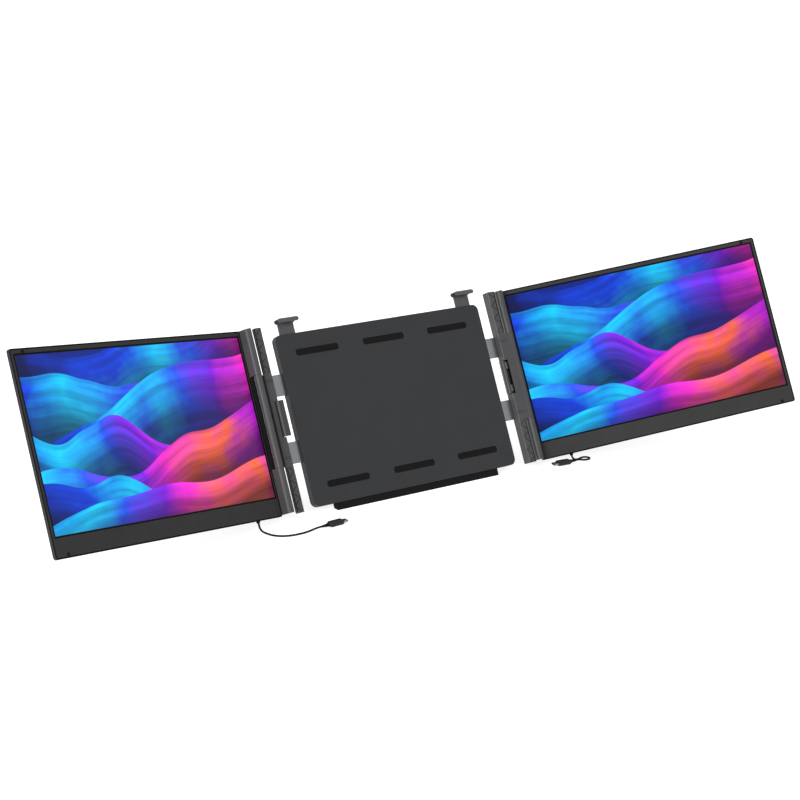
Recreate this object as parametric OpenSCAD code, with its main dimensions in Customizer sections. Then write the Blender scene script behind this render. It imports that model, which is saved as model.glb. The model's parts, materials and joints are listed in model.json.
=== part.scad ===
// Two folding side screens on a clamp that holds a portable computer's lid from behind.
//
// The bracket frame leans back on the desk: x runs to the right, y up along the bracket and z
// toward the viewer. z = 0 is the columns' front face and y = 0 the middle of the picture.
// Each screen has a frame of its own at its hinge: x runs outward from the axis and z toward
// the picture's side. The left side is the right side mirrored, with its axis further forward.

/* [Stance] */
// Degrees that the bracket leans back
lean = 25.3; // [15:0.1:35]
// Height above the desk of the point y = 0, z = 0
desk_drop = 117.2; // [116:0.1:140]
// Degrees that the left screen is turned toward the viewer
left_turn = 19.5; // [0:0.5:60]
// Degrees that the right screen is turned toward the viewer
right_turn = 21; // [0:0.5:60]
// Degrees that the left clip is folded away, 0 being over the lid
left_clip_fold = 0; // [0:5:110]
// Degrees that the right clip is folded away, 0 being over the lid
right_clip_fold = 110; // [0:5:110]

/* [Screen] */
// Width of the picture
view_w = 344.2; // [300:0.1:360]
// Height of the picture
view_h = 193.6; // [170:0.1:200]
// Frame beside the picture, next to the hinge
inner_margin = 4.95; // [4.5:0.05:8]
// Frame beside the picture, away from the hinge
outer_margin = 6; // [5:0.1:12]
// Frame above the picture
top_margin = 7.2; // [6.5:0.1:14]
// Frame below the picture
chin = 23.6; // [22:0.1:30]
// Depth of the glass below the frame's front face
glass_recess = 0.4; // [0.3:0.05:0.8]
// Depth of the frame's edge
rim_depth = 3.2; // [3:0.1:5]
// Depth of the rear cover behind the frame
cover_depth = 3.2; // [3:0.1:5]
// Slope of the rear cover's edges, measured inward
cover_taper = 2; // [1:0.1:4]
// Radius of the screen's corners
screen_corner = 3; // [2:0.5:6]
// Width of glass under the frame's lip
glass_lap = 2; // [1:0.1:2.5]
// Thickness of the glass
glass_t = 1.8; // [1.2:0.1:2]
// Thickness of the backlight
backlight_t = 1.8; // [1.2:0.1:2]
// Height of the rubber bumpers on the frame
bumper_h = 0.4; // [0.3:0.05:0.6]
// Radius of a rubber bumper
bumper_r = 2; // [1.5:0.1:2.4]

/* [Hinges] */
// Space between the housing's end and a column
column_gap = 17.8; // [12:0.1:20]
// Width of a column's front face
column_w = 11.6; // [11:0.1:16]
// Depth of a column
column_d = 11.9; // [11.5:0.1:14]
// Edge bevel of a column
column_bevel = 1.2; // [0.6:0.1:1.5]
// Degrees that a column's outer side slopes back
column_slope = 30.3; // [25:0.1:32]
// Distance from the column's outer side to the hinge axis
axis_out = 8.95; // [8.5:0.05:12]
// Radius of the knuckles
barrel_r = 4.9; // [4.7:0.1:5.5]
// Height of the left hinge axis over the columns' front face
left_axis_z = 3; // [2:0.1:4]
// Distance from the hinge axis back to the glass
axis_to_glass = 9.05; // [8.9:0.05:11]
// Distance from the hinge axis to the screen's edge
axis_to_edge = 4.8; // [4.6:0.05:6]
// Length of a screen's top or bottom knuckle
knuckle_len = 56; // [50:1:60]
// Space between neighbouring knuckles
knuckle_gap = 0.3; // [0.2:0.05:0.5]
// Step from the screen's lower edge up to the bottom knuckle
knuckle_step = 2; // [0:0.5:4]
// Space between the screens when both are folded
fold_gap = 0.4; // [0.3:0.1:1]
// Radius of a hinge pin
pin_r = 2.5; // [2:0.1:2.6]
// Length of a hinge pin inside the column
pin_in = 28; // [20:1:40]
// Length of a hinge pin inside the screen's knuckle
pin_out = 40; // [20:1:48]
// Wall of a friction sleeve
sleeve_wall = 1.05; // [0.8:0.05:1.1]
// Length of a friction sleeve
sleeve_len = 24; // [15:1:30]

/* [Side clips] */
// Height of the notch that a clip folds into
notch_h = 44; // [36:1:50]
// Height of the notch's middle
notch_y = -7.5; // [-10:0.5:-5]
// Width of the notch
notch_w = 5; // [4.8:0.1:5.5]
// Thickness of a clip
clip_t = 2; // [1.6:0.1:2.2]
// Height of a clip's front over the column
clip_front = 4; // [3.6:0.1:4]
// Reach of a clip over the lid, from the column's inner side
clip_reach = 4.8; // [4:0.1:5.5]
// Radius of a clip's knuckles
clip_knuckle_r = 1.9; // [1.7:0.1:2]
// Radius of a clip's pin
clip_pin_r = 0.9; // [0.8:0.05:1]
// Thickness of the rubber pads on clips
clip_pad_t = 0.4; // [0.3:0.1:0.6]

/* [Housing] */
// Half the width of the housing
housing_half_w = 150; // [142:1:154]
// Top edge of the housing
housing_top = 92; // [88:1:96]
// Bottom edge of the housing
housing_bottom = -118; // [-118:1:-110]
// Thickness of the lid that the clamp is made for
lid_t = 5.6; // [5:0.1:6]
// Thickness of the pads that the lid rests on
rest_pad_t = 0.6; // [0.4:0.1:1]
// Width of a pad that the lid rests on
rest_pad_w = 60; // [30:5:80]
// Height of a pad that the lid rests on
rest_pad_h = 8; // [6:1:12]
// Distance from the housing's edge to a pad
rest_pad_inset = 20; // [12:1:24]
// Thickness of the front plate
front_t = 3.8; // [3.6:0.1:4.5]
// Thickness of the front plate's skin over the hooks
front_skin = 2; // [1.5:0.1:2.2]
// Thickness of the back cover
back_t = 5.2; // [5.2:0.1:6]
// Radius of the housing's corners
housing_corner = 8; // [4:1:12]
// Width of the rubber foot's ground face along the desk edge
foot_len = 240; // [160:5:280]

/* [Sliding arms] */
// Thickness of an arm's sheet
arm_t = 1.5; // [1.2:0.1:1.6]
// Distance from the housing's end to an arm's inner edge
arm_inset = 65; // [60:1:66]
// Width of the upright strip that joins an arm's tongues
arm_strip_w = 15; // [12:1:18]
// Length of an arm's tongue inside the column
arm_seat = 8.2; // [7:0.1:8.4]
// Height of an arm's tongue
tongue_h = 26; // [20:1:28]
// Height of the upper tongue's middle
tongue_high = 33; // [31:1:34]
// Height of the lower tongue's middle
tongue_low = -49; // [-50:1:-45]
// Travel of an arm outward
arm_out_travel = 33; // [20:1:35]
// Travel of an arm inward
arm_in_travel = 4; // [2:0.5:5]
// Distance from the housing's end to an arm's guide studs
arm_stud_inset = 20; // [16:1:25]
// Radius of an arm's guide stud
arm_stud_r = 3; // [2.5:0.1:3.5]

/* [Top hooks] */
// Distance from the housing's end to a hook's middle
hook_inset = 20; // [18:1:40]
// Width of a hook's lip
hook_w = 28; // [26:0.5:36]
// Width of a hook's strap
strap_w = 22; // [20:0.5:24]
// Thickness of a hook's strap
strap_t = 1.5; // [1.2:0.1:1.6]
// Top of a hook
hook_top = 111; // [108:0.5:114]
// Height of a hook's lip
lip_h = 5.6; // [5:0.1:8]
// Thickness of a hook's lip
lip_t = 1.6; // [1.2:0.1:1.8]
// Front of a hook over the columns' front face
hook_front = 3.8; // [3.4:0.1:3.9]
// Edge bevel along a hook's top
hook_bevel = 1.4; // [0.6:0.1:1.5]
// Thickness of a hook's rubber pad
hook_pad_t = 0.8; // [0.5:0.1:1]
// Lower end of a hook's strap
strap_low = 49; // [48:1:52]
// Travel of a hook upward
hook_up_travel = 22; // [15:1:24]
// Travel of a hook downward
hook_down_travel = 12; // [5:1:12]
// Height of a hook's guide studs
hook_stud_y = 78; // [77:1:80]
// Radius of a hook's guide stud
hook_stud_r = 2; // [1.5:0.1:2.2]

/* [Stand] */
// Height of the stand's pivot
stand_pivot_y = 40; // [34:1:44]
// Distance from the stand's pivot to its rubber foot
stand_len = 150; // [144:1:152]
// Width of the stand
stand_w = 110; // [90:1:116]
// Thickness of the stand's plate
stand_t = 1.6; // [1.2:0.1:2]
// Radius of the stand's knuckles and rubber foot
stand_r = 2.2; // [2:0.1:2.2]
// Radius of the stand's hinge pin
stand_pin_r = 1.1; // [0.9:0.1:1.2]
// Depth of the recess that the stand folds into
recess_d = 3.9; // [3.7:0.1:4]

/* [Buttons and cords] */
// Distance from the hinge axis to the power button
power_x = 70; // [60:1:80]
// Distance from the hinge axis to the menu button
menu_x = 92; // [88:1:110]
// Height of the buttons above the screen's lower edge
button_up = 11.5; // [10:0.5:13]
// Radius of a button
button_r = 2.2; // [2:0.1:3]
// Height of a button over the rear cover
button_proud = 0.6; // [0.5:0.1:1]
// Distance from the hinge axis to the cord's gland
gland_x = 45; // [35:1:55]
// Length of the gland outside the screen
gland_len = 2.5; // [2:0.1:3]
// Radius of the gland's neck in the screen's wall
gland_r = 1.5; // [1.4:0.05:1.6]
// Diameter of a cord
cord_d = 2.4; // [2:0.1:2.8]
// Length of a plug's grip
plug_len = 20; // [16:1:24]
// Width of a plug's grip
plug_w = 10.5; // [9:0.5:12]
// Height of a plug's grip
plug_h = 6; // [5:0.5:7]
// Length of a plug's strain relief
relief_len = 9; // [8:1:12]

/* [Hidden] */
$fn = 48;
slip = 0.05;      // clearance of seated pieces and running fits
play = 0.1;       // clearance of sliding pieces on their flat faces
side_play = 0.5;  // clearance at the ends of a slide's channel
wall = 1.2;       // walls of the screens' shells
screw_r = 1;      // shank radius of the screens' screws
screw_head_r = 1.6;
screw_head_h = 0.6;
big_screw_r = 1.25;   // shank radius of the columns' and the housing's screws
big_head_r = 2.4;
big_head_h = 1.2;
screw_inset = 6;      // distance of the housing's screws from its edges
column_screw_x = 3.4; // distance of the columns' screws from the inner side
column_screw_pitch = 14;
column_corner = 3;
clip_pin_seat = 3;    // length of a clip's pin in the column at each end of the notch
stud_skin = 1.2;      // thickness of the back cover under the arms' guide studs
web_out = 4;          // reach of a column's web beyond the hinge axis, clear of the screen
web_step = 7;         // distance from the hinge axis back to the web's outer corner

// Column and hinge places
column_in = housing_half_w + column_gap;
column_out = column_in + column_w;
hinge_x = column_out + axis_out;
screen_t = rim_depth + cover_depth;
right_axis_z = left_axis_z - screen_t - bumper_h - fold_gap;
function axis_z(side) = side < 0 ? left_axis_z : right_axis_z;
function turn(side) = side < 0 ? left_turn : right_turn;
function clip_fold(side) = side < 0 ? left_clip_fold : right_clip_fold;
column_back_out = column_out - (column_d - column_bevel) * tan(column_slope);

// Screen, in its own frame
screen_top = view_h / 2 + top_margin;
screen_bottom = -view_h / 2 - chin;
view_in = axis_to_edge + inner_margin;
screen_out = view_in + view_w + outer_margin;
frame_front = glass_recess - axis_to_glass;
seam = frame_front - rim_depth;
cover_back = seam - cover_depth;
glass_front = -axis_to_glass;
backlight_back = glass_front - glass_t - backlight_t - 2 * slip;
cover_floor = cover_back + wall;
glass_low = -view_h / 2 - glass_lap;
board_back = cover_floor + 1.8;
board_front = board_back + 1;
top_knuckle_low = screen_top - knuckle_len;
bottom_knuckle_high = screen_bottom + knuckle_len;
bore_r = pin_r + sleeve_wall + slip;
chin_wall = 2.4;    // edge of the screen's shells below the pocket in the chin
collar_r = 1.9;
collar_t = 0.7;
gland_back = chin_wall + slip + collar_t;
chips = 5;
chip_pitch = view_w / 12;
chip_w = 12;
chip_h = 8;
chip_t = 0.8;
switch_w = 5;
flange_h = 32;
flange_reach = 10;
flange_t = 1.2;
flange_back = cover_back + 1;
function flange_middle(end) =
    end > 0 ? screen_top - knuckle_len / 2 : screen_bottom + knuckle_len / 2;

// Lines engraved in the columns' front faces
line_w = 0.9;
line_d = 0.5;
line_inset = 1.2;
hair_w = 0.4;
hair_away = 25;
chevron_pitch = 16.6;
chevron_h = 6.2;
chevron_lead = 4.2;   // start of the topmost chevron over the column's top

// Clip, beside the column's inner side
clip_pin_x = column_in + notch_w - slip * 4 - clip_knuckle_r;
clip_pin_z = -2.6;
clip_outer_x = column_in + notch_w - 0.7;
notch_floor_x = clip_pin_x - 1.2;
notch_floor_z = clip_pin_z - clip_knuckle_r - 0.5;
notch_low = notch_y - notch_h / 2;
notch_high = notch_y + notch_h / 2;
clip_half_h = notch_h / 2 - 0.4;
ear_h = 8.5;
ear_inset = 2.5;

// Housing layers, from the front to the back
rest_face = clip_front - clip_t - clip_pad_t - lid_t;
front_face = rest_face - rest_pad_t;
split = front_face - front_t;
back_face = split - back_t;
strap_front = front_face - front_skin - play;
strap_back = strap_front - strap_t;
arm_front = split - play;
arm_back = arm_front - arm_t;
arm_out = column_in + arm_seat;
arm_in = housing_half_w - arm_inset;
arm_stud_x = housing_half_w - arm_stud_inset;
hook_x = housing_half_w - hook_inset;
rest_pad_x = housing_half_w - rest_pad_inset - rest_pad_w / 2 - 4;
recess_floor = back_face + recess_d;
recess_half_w = stand_w / 2 + 2;
stand_pivot_z = recess_floor - stand_r - 0.2;

// The stand opens until its foot meets the desk
pivot_height = desk_drop + stand_pivot_y * cos(lean) + stand_pivot_z * sin(lean);
stand_open = lean + acos((pivot_height - stand_r) / stand_len);

// The rubber foot's ground face, from its front to its back
function desk_y(z) = -(desk_drop + z * sin(lean)) / cos(lean);
foot_front = front_face - 0.5;
foot_back = back_face + 0.5;
foot_mid = (foot_front + foot_back) / 2;
bracket_back = foot_mid * cos(lean) - desk_y(foot_mid) * sin(lean);

// Cord routes on the desk, from the gland to the strain relief, in the desk frame
left_route = [
    [-234.7, -13.4, 9], [-234.7, -14.7, 6.4], [-234.6, -16.6, 3.9], [-234.3, -19.6, 2],
    [-233.8, -23.2, 1.3], [-233.2, -28, 1.3], [-231.8, -34, 1.3], [-228.8, -40.2, 1.3],
    [-223.8, -45.2, 1.3], [-217.4, -48.6, 1.3], [-210.2, -50.4, 1.3], [-202.8, -50.9, 1.3],
    [-195.4, -50.7, 1.4], [-188.2, -50, 1.8], [-181.4, -49.3, 2.6], [-175.4, -48.7, 3.1],
    [-170, -48.2, 3.1]
];
right_route = [
    [234.6, -8, 6.4], [234.7, -8.9, 4.6], [235.4, -9.9, 3.1], [237.2, -11.1, 1.9],
    [240.4, -11.6, 1.4], [244.6, -10.8, 1.3], [248.6, -9.4, 1.3], [252.6, -8.8, 1.3],
    [256.2, -10.4, 1.3], [258, -13.8, 1.3], [256.8, -17.4, 1.3], [253.2, -19.3, 1.3],
    [248.4, -19.4, 1.5], [243.2, -18.7, 2.2], [238.6, -18.2, 3.1], [234, -17.8, 3.1]
];
cord_sides = 8;
tip_len = 6.5;
tip_w = 8.2;
tip_h = 2.5;

// ---- Frames and helpers ----

module bracket()
    translate([0, bracket_back, desk_drop])
        rotate([90 - lean, 0, 0])
            children();

// The right side as drawn, or the left side as its mirror image
module on_side(side)
    if (side < 0)
        mirror([1, 0, 0]) children();
    else
        children();

module beside(side) bracket() on_side(side) children();

module screen_frame(side)
    beside(side)
        translate([hinge_x, 0, axis_z(side)])
            rotate([0, -turn(side), 0])
                children();

// Extrudes an outline of (x, z) points up along the bracket
module upright(low, high)
    translate([0, high, 0])
        rotate([90, 0, 0])
            linear_extrude(high - low)
                children();

// Extrudes an outline of (y, z) points along x, centred
module crosswise(width)
    rotate([90, 0, 90])
        linear_extrude(width, center = true)
            children();

// Extrudes an outline of (x, y) points from one depth to another
module layer(back, front)
    translate([0, 0, back])
        linear_extrude(front - back)
            children();

module box_outline(x0, y0, x1, y1)
    translate([x0, y0])
        square([x1 - x0, y1 - y0]);

module round_outline(x0, y0, x1, y1, r) {
    box_outline(x0 + r, y0, x1 - r, y1);
    box_outline(x0, y0 + r, x1, y1 - r);
    for (x = [x0 + r, x1 - r], y = [y0 + r, y1 - r])
        translate([x, y])
            circle(r);
}

// A countersunk screw along z, with its flat head at z = 0 and its shank upward
module countersunk(r, head_r, head_h, length, grow = 0) {
    cylinder(h = length, r = r + grow);
    cylinder(h = head_h, r1 = head_r + grow, r2 = r + grow);
}

// ---- Centre housing ----

module housing_outline()
    round_outline(-housing_half_w, housing_bottom, housing_half_w, housing_top, housing_corner);

module strap_channel_outline() {
    low = strap_low - hook_down_travel - side_play;
    for (side = [-1, 1])
        box_outline(side * hook_x - strap_w / 2 - play, low,
                    side * hook_x + strap_w / 2 + play, housing_top + 1);
}

module at_hook_studs()
    for (side = [-1, 1], shift = [-1, 1])
        translate([side * hook_x + shift * strap_w / 4, hook_stud_y, 0])
            children();

module at_housing_screws() {
    edge_x = housing_half_w - screw_inset;
    between_tongues = tongue_low + tongue_h / 2 + 2 * screw_inset;
    for (x = [-edge_x, edge_x], y = [housing_bottom + screw_inset, between_tongues])
        translate([x, y, 0])
            children();
    for (x = [-hook_x + strap_w, hook_x - strap_w],
         y = [housing_bottom + screw_inset, housing_top - screw_inset])
        translate([x, y, 0])
            children();
}

module front_plate()
    color("#3c3d3f")
        bracket()
            difference() {
                layer(split, front_face) housing_outline();
                layer(split - 1, strap_front + play) strap_channel_outline();
                at_hook_studs()
                    translate([0, 0, strap_front - 1])
                        cylinder(h = 2 + play, r = hook_stud_r + slip);
                at_housing_screws()
                    translate([0, 0, back_face])
                        cylinder(h = back_t + front_t - 1, r = big_screw_r + slip);
            }

module arm_channel_outline()
    for (side = [-1, 1])
        on_side(side) {
            inner = arm_in - arm_in_travel - side_play;
            outer = arm_in + arm_strip_w + arm_out_travel + side_play;
            low = tongue_low - tongue_h / 2 - side_play;
            high = tongue_high + tongue_h / 2 + side_play;
            box_outline(inner, low, outer, high);
            for (y = [tongue_low, tongue_high])
                box_outline(inner, y - tongue_h / 2 - side_play,
                            housing_half_w + 1, y + tongue_h / 2 + side_play);
        }

module at_arm_studs()
    for (side = [-1, 1], y = [tongue_low, tongue_high])
        translate([side * arm_stud_x, y, 0])
            children();

module back_cover()
    color("#333436")
        bracket()
            difference() {
                layer(back_face, split - slip) housing_outline();
                layer(arm_back - play, split + 1) arm_channel_outline();
                layer(back_face - 1, recess_floor)
                    round_outline(-recess_half_w, stand_pivot_y - stand_len - stand_r - 2,
                                  recess_half_w, stand_pivot_y + stand_r + 1, 2);
                at_arm_studs()
                    translate([0, 0, back_face + stud_skin])
                        cylinder(h = back_t, r = arm_stud_r + slip);
                at_housing_screws()
                    translate([0, 0, back_face - 0.01])
                        countersunk(big_screw_r, big_head_r, big_head_h, back_t + 1, slip);
                translate([0, stand_pivot_y, stand_pivot_z])
                    rotate([0, 90, 0])
                        cylinder(h = 2 * recess_half_w + 8 + 2 * slip, r = stand_pin_r + slip,
                                 center = true);
            }

module lid_rest_pads()
    color("#1c1c1d")
        bracket()
            layer(front_face, rest_face)
                for (x = [-rest_pad_x, 0, rest_pad_x]) {
                    round_outline(x - rest_pad_w / 2, housing_bottom + rest_pad_inset,
                                  x + rest_pad_w / 2, housing_bottom + rest_pad_inset + rest_pad_h,
                                  rest_pad_h * 0.4);
                    round_outline(x - rest_pad_w / 2, housing_top - rest_pad_inset - rest_pad_h,
                                  x + rest_pad_w / 2, housing_top - rest_pad_inset,
                                  rest_pad_h * 0.4);
                }

module desk_foot()
    color("#1c1c1d")
        bracket()
            crosswise(foot_len)
                polygon([
                    [housing_bottom, foot_front], [desk_y(foot_front), foot_front],
                    [desk_y(foot_back), foot_back], [housing_bottom, foot_back]
                ]);

module housing_screws()
    color("#77797c")
        bracket()
            at_housing_screws()
                translate([0, 0, back_face])
                    countersunk(big_screw_r, big_head_r, big_head_h, back_t + front_t - 1.5);

module arm_guide_studs()
    color("#9a9c9f")
        bracket()
            at_arm_studs()
                translate([0, 0, back_face + stud_skin + slip])
                    cylinder(h = split - back_face - stud_skin - 2 * slip, r = arm_stud_r);

module hook_guide_studs()
    color("#9a9c9f")
        bracket()
            at_hook_studs()
                translate([0, 0, split])
                    cylinder(h = strap_front + 1 - split, r = hook_stud_r);

// ---- Stand ----

module stand_frame()
    bracket()
        translate([0, stand_pivot_y, stand_pivot_z])
            rotate([stand_open, 0, 0])
                children();

module stand_hinge_pin()
    color("#9a9c9f")
        bracket()
            translate([0, stand_pivot_y, stand_pivot_z])
                rotate([0, 90, 0])
                    cylinder(h = 2 * recess_half_w + 8, r = stand_pin_r, center = true);

module kickstand()
    color("#3a3b3d")
        stand_frame()
            difference() {
                union() {
                    rotate([0, 90, 0])
                        cylinder(h = stand_w, r = stand_r, center = true);
                    layer(-stand_t / 2, stand_t / 2)
                        round_outline(-stand_w / 2, -stand_len + stand_r / 2, stand_w / 2, 0, 0.5);
                }
                rotate([0, 90, 0])
                    cylinder(h = stand_w + 1, r = stand_pin_r + slip, center = true);
            }

module kickstand_foot()
    color("#1c1c1d")
        stand_frame()
            difference() {
                translate([0, -stand_len, 0])
                    rotate([0, 90, 0])
                        cylinder(h = stand_w - 8, r = stand_r, center = true);
                layer(-stand_t / 2 - slip, stand_t / 2 + slip)
                    box_outline(-stand_w / 2, -stand_len + stand_r / 2 - slip, stand_w / 2, 0);
            }

// ---- Sliding arms ----

module arm_outline()
    difference() {
        union() {
            box_outline(arm_in, tongue_low - tongue_h / 2,
                        arm_in + arm_strip_w, tongue_high + tongue_h / 2);
            for (y = [tongue_low, tongue_high])
                box_outline(arm_in, y - tongue_h / 2, arm_out, y + tongue_h / 2);
        }
        for (y = [tongue_low, tongue_high]) {
            from = arm_stud_x - arm_out_travel;
            to = arm_stud_x + arm_in_travel;
            r = arm_stud_r + play;
            box_outline(from, y - r, to, y + r);
            translate([from, y]) circle(r);
            translate([to, y]) circle(r);
        }
    }

module at_column_screws()
    for (y = [tongue_low, tongue_high], shift = [-column_screw_pitch / 2, column_screw_pitch / 2])
        translate([column_in + column_screw_x, y + shift, 0])
            children();

module arm_plate(side)
    color("#8b8d90")
        beside(side)
            difference() {
                layer(arm_back, arm_front) arm_outline();
                at_column_screws()
                    translate([0, 0, -column_d])
                        cylinder(h = column_d, r = big_screw_r + slip);
            }

module column_screws(side)
    color("#77797c")
        beside(side)
            at_column_screws()
                translate([0, 0, -column_d])
                    countersunk(big_screw_r, big_head_r, big_head_h, column_d - 4);

// ---- Columns ----

module column_outline()
    polygon([
        [column_in, -column_bevel / 2], [column_in + column_bevel / 2, 0],
        [column_out - column_bevel, 0], [column_out, -column_bevel],
        [column_back_out, -column_d], [column_in, -column_d]
    ]);

// The web between the column and its long middle knuckle. On the left the knuckle stands
// proud and a groove runs before it, on the right the web is flush with the column's face.
module web_outline(side) {
    z = axis_z(side);
    proud = side < 0;
    polygon([
        [column_in + column_bevel, proud ? -column_bevel * 2.5 : 0],
        [column_out - column_bevel, proud ? -column_bevel * 2.5 : 0],
        [hinge_x - barrel_r * 0.6, proud ? z - barrel_r * 0.7 : z + barrel_r * 0.8],
        [hinge_x, proud ? z - barrel_r * 0.7 : z + barrel_r],
        [hinge_x + barrel_r * 0.6, z - barrel_r * 0.8],
        [hinge_x + web_out, z - web_step],
        [hinge_x + web_out, -column_d],
        [column_in + column_bevel, -column_d]
    ]);
    translate([hinge_x, z]) circle(barrel_r);
}

module at_hinge_pins(side) {
    translate([hinge_x, top_knuckle_low, axis_z(side)])
        children();
    translate([hinge_x, bottom_knuckle_high, axis_z(side)])
        mirror([0, 1, 0])
            children();
}

// Chevrons and the upright line beside them, between two heights. first is the height of
// the uppermost chevron's upper end.
module chevrons(high, low, first) {
    edge = column_out - column_bevel - line_inset;
    tip = column_in + line_inset;
    count = ceil((first - low) / chevron_pitch) - 1;
    intersection() {
        box_outline(tip - line_w, low, edge + line_w / 2, high);
        union() {
            box_outline(edge - line_w / 2, low, edge + line_w / 2, high);
            for (i = [0 : count]) {
                y = first - i * chevron_pitch;
                polygon([
                    [edge, y], [tip, y - chevron_h], [edge, y - 2 * chevron_h],
                    [edge, y - 2 * chevron_h - line_w], [tip - line_w, y - chevron_h],
                    [edge, y + line_w]
                ]);
            }
        }
    }
}

module column_lines() {
    chevrons(screen_top - line_inset, top_knuckle_low + line_inset, screen_top + chevron_lead);
    chevrons(bottom_knuckle_high - line_inset, screen_bottom + line_inset, bottom_knuckle_high);
    // double lines above and below the notch
    for (y = [notch_high + hair_away, notch_low - hair_away], shift = [-1, 1])
        box_outline(column_in - 1, y + shift - hair_w / 2,
                    column_out - column_bevel, y + shift + hair_w / 2);
}

// A floor closes the notch behind the clip's pin and leaves the folded clip its room
module notch_outline() {
    box_outline(column_in - 1, -column_d - 1, notch_floor_x, 1);
    box_outline(column_in - 1, notch_floor_z, column_in + notch_w, 1);
}

module column(side)
    color("#5c5d5e")
        beside(side)
            difference() {
                union() {
                    upright(screen_bottom, screen_top) column_outline();
                    upright(bottom_knuckle_high + knuckle_gap, top_knuckle_low - knuckle_gap)
                        web_outline(side);
                }
                // rounded corner at the top
                layer(-column_d - 1, 1)
                    difference() {
                        box_outline(column_out - column_corner, screen_top - column_corner,
                                    column_out + 1, screen_top + 1);
                        translate([column_out - column_corner, screen_top - column_corner])
                            circle(column_corner);
                    }
                layer(-line_d, 1) column_lines();
                // notch for the clip and bore for its pin
                upright(notch_low, notch_high) notch_outline();
                translate([clip_pin_x, notch_high + clip_pin_seat + slip, clip_pin_z])
                    rotate([90, 0, 0])
                        cylinder(h = notch_h + 2 * (clip_pin_seat + slip), r = clip_pin_r + slip);
                // bores for the friction sleeves
                at_hinge_pins(side)
                    translate([0, 1, 0])
                        rotate([90, 0, 0])
                            cylinder(h = pin_in + 2, r = bore_r);
                // pockets and screw holes for the arm
                for (y = [tongue_low, tongue_high])
                    layer(arm_back - slip, arm_front + slip)
                        box_outline(column_in - 1, y - tongue_h / 2 - slip,
                                    arm_out + slip, y + tongue_h / 2 + slip);
                at_column_screws()
                    translate([0, 0, -column_d - 0.01])
                        countersunk(big_screw_r, big_head_r, big_head_h, column_d - 3.5, slip);
            }

module friction_sleeves(side)
    color("#b08d57")
        beside(side)
            at_hinge_pins(side)
                translate([0, -knuckle_gap, 0])
                    rotate([90, 0, 0])
                        difference() {
                            cylinder(h = sleeve_len, r = pin_r + sleeve_wall);
                            translate([0, 0, -1])
                                cylinder(h = sleeve_len + 2, r = pin_r + slip);
                        }

module clip_pin(side)
    color("#9a9c9f")
        beside(side)
            translate([clip_pin_x, notch_high + clip_pin_seat, clip_pin_z])
                rotate([90, 0, 0])
                    cylinder(h = notch_h + 2 * clip_pin_seat, r = clip_pin_r);

// ---- Side clips ----

module clip_frame(side)
    beside(side)
        translate([clip_pin_x, notch_y, clip_pin_z])
            rotate([0, -clip_fold(side), 0])
                translate([-clip_pin_x, 0, -clip_pin_z])
                    children();

// A quarter round from the notch to the flap, then the flap over the lid
module clip_outline() {
    bend_x = clip_outer_x - clip_front;
    tip = column_in - clip_reach;
    intersection() {
        difference() {
            translate([bend_x, 0]) circle(clip_front);
            translate([bend_x, 0]) circle(clip_front - clip_t);
        }
        box_outline(bend_x, 0, clip_outer_x, clip_front);
    }
    box_outline(clip_outer_x - clip_t, clip_pin_z + 1.6, clip_outer_x, 0.01);
    box_outline(tip + clip_t / 2, clip_front - clip_t, bend_x + 0.01, clip_front);
    translate([tip + clip_t / 2, clip_front - clip_t / 2]) circle(clip_t / 2);
}

module clip_ear_outline() {
    translate([clip_pin_x, clip_pin_z]) circle(clip_knuckle_r);
    box_outline(clip_outer_x - clip_t, clip_pin_z, clip_outer_x, 0.01);
}

module clip(side)
    color("#444547")
        clip_frame(side)
            difference() {
                union() {
                    upright(-clip_half_h, clip_half_h) clip_outline();
                    for (side_y = [-1, 1])
                        upright(side_y * (clip_half_h - ear_inset - ear_h / 2) - ear_h / 2,
                                side_y * (clip_half_h - ear_inset - ear_h / 2) + ear_h / 2)
                            clip_ear_outline();
                }
                translate([clip_pin_x, clip_half_h + 1, clip_pin_z])
                    rotate([90, 0, 0])
                        cylinder(h = 2 * clip_half_h + 2, r = clip_pin_r + slip);
            }

module clip_pad(side)
    color("#1c1c1d")
        clip_frame(side)
            upright(-clip_half_h + 2, clip_half_h - 2)
                box_outline(column_in - clip_reach + clip_t / 2, clip_front - clip_t - clip_pad_t,
                            column_in - 0.8, clip_front - clip_t);

// ---- Top hooks ----

module hook(side)
    color("#55575a")
        beside(side)
            difference() {
                intersection() {
                    translate([hook_x, 0, 0])
                        crosswise(hook_w)
                            polygon([
                                [strap_low, strap_back], [hook_top, strap_back],
                                [hook_top, hook_front - hook_bevel], [hook_top - hook_bevel, hook_front],
                                [hook_top - lip_h + 0.5, hook_front],
                                [hook_top - lip_h, hook_front - 0.5],
                                [hook_top - lip_h, hook_front - lip_t],
                                [hook_top - strap_t, hook_front - lip_t],
                                [hook_top - strap_t, strap_front], [strap_low, strap_front]
                            ]);
                    layer(strap_back - 1, hook_front + 1) {
                        round_outline(hook_x - hook_w / 2, hook_top - lip_h,
                                      hook_x + hook_w / 2, hook_top, lip_h / 2 - 0.01);
                        round_outline(hook_x - strap_w / 2, strap_low,
                                      hook_x + strap_w / 2, hook_top - lip_h / 2, 2);
                    }
                }
                layer(strap_back - 1, strap_front + 0.01)
                    for (shift = [-1, 1]) {
                        x = hook_x + shift * strap_w / 4;
                        r = hook_stud_r + play;
                        box_outline(x - r, hook_stud_y - hook_up_travel,
                                    x + r, hook_stud_y + hook_down_travel);
                        for (y = [-hook_up_travel, hook_down_travel])
                            translate([x, hook_stud_y + y]) circle(r);
                    }
            }

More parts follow.
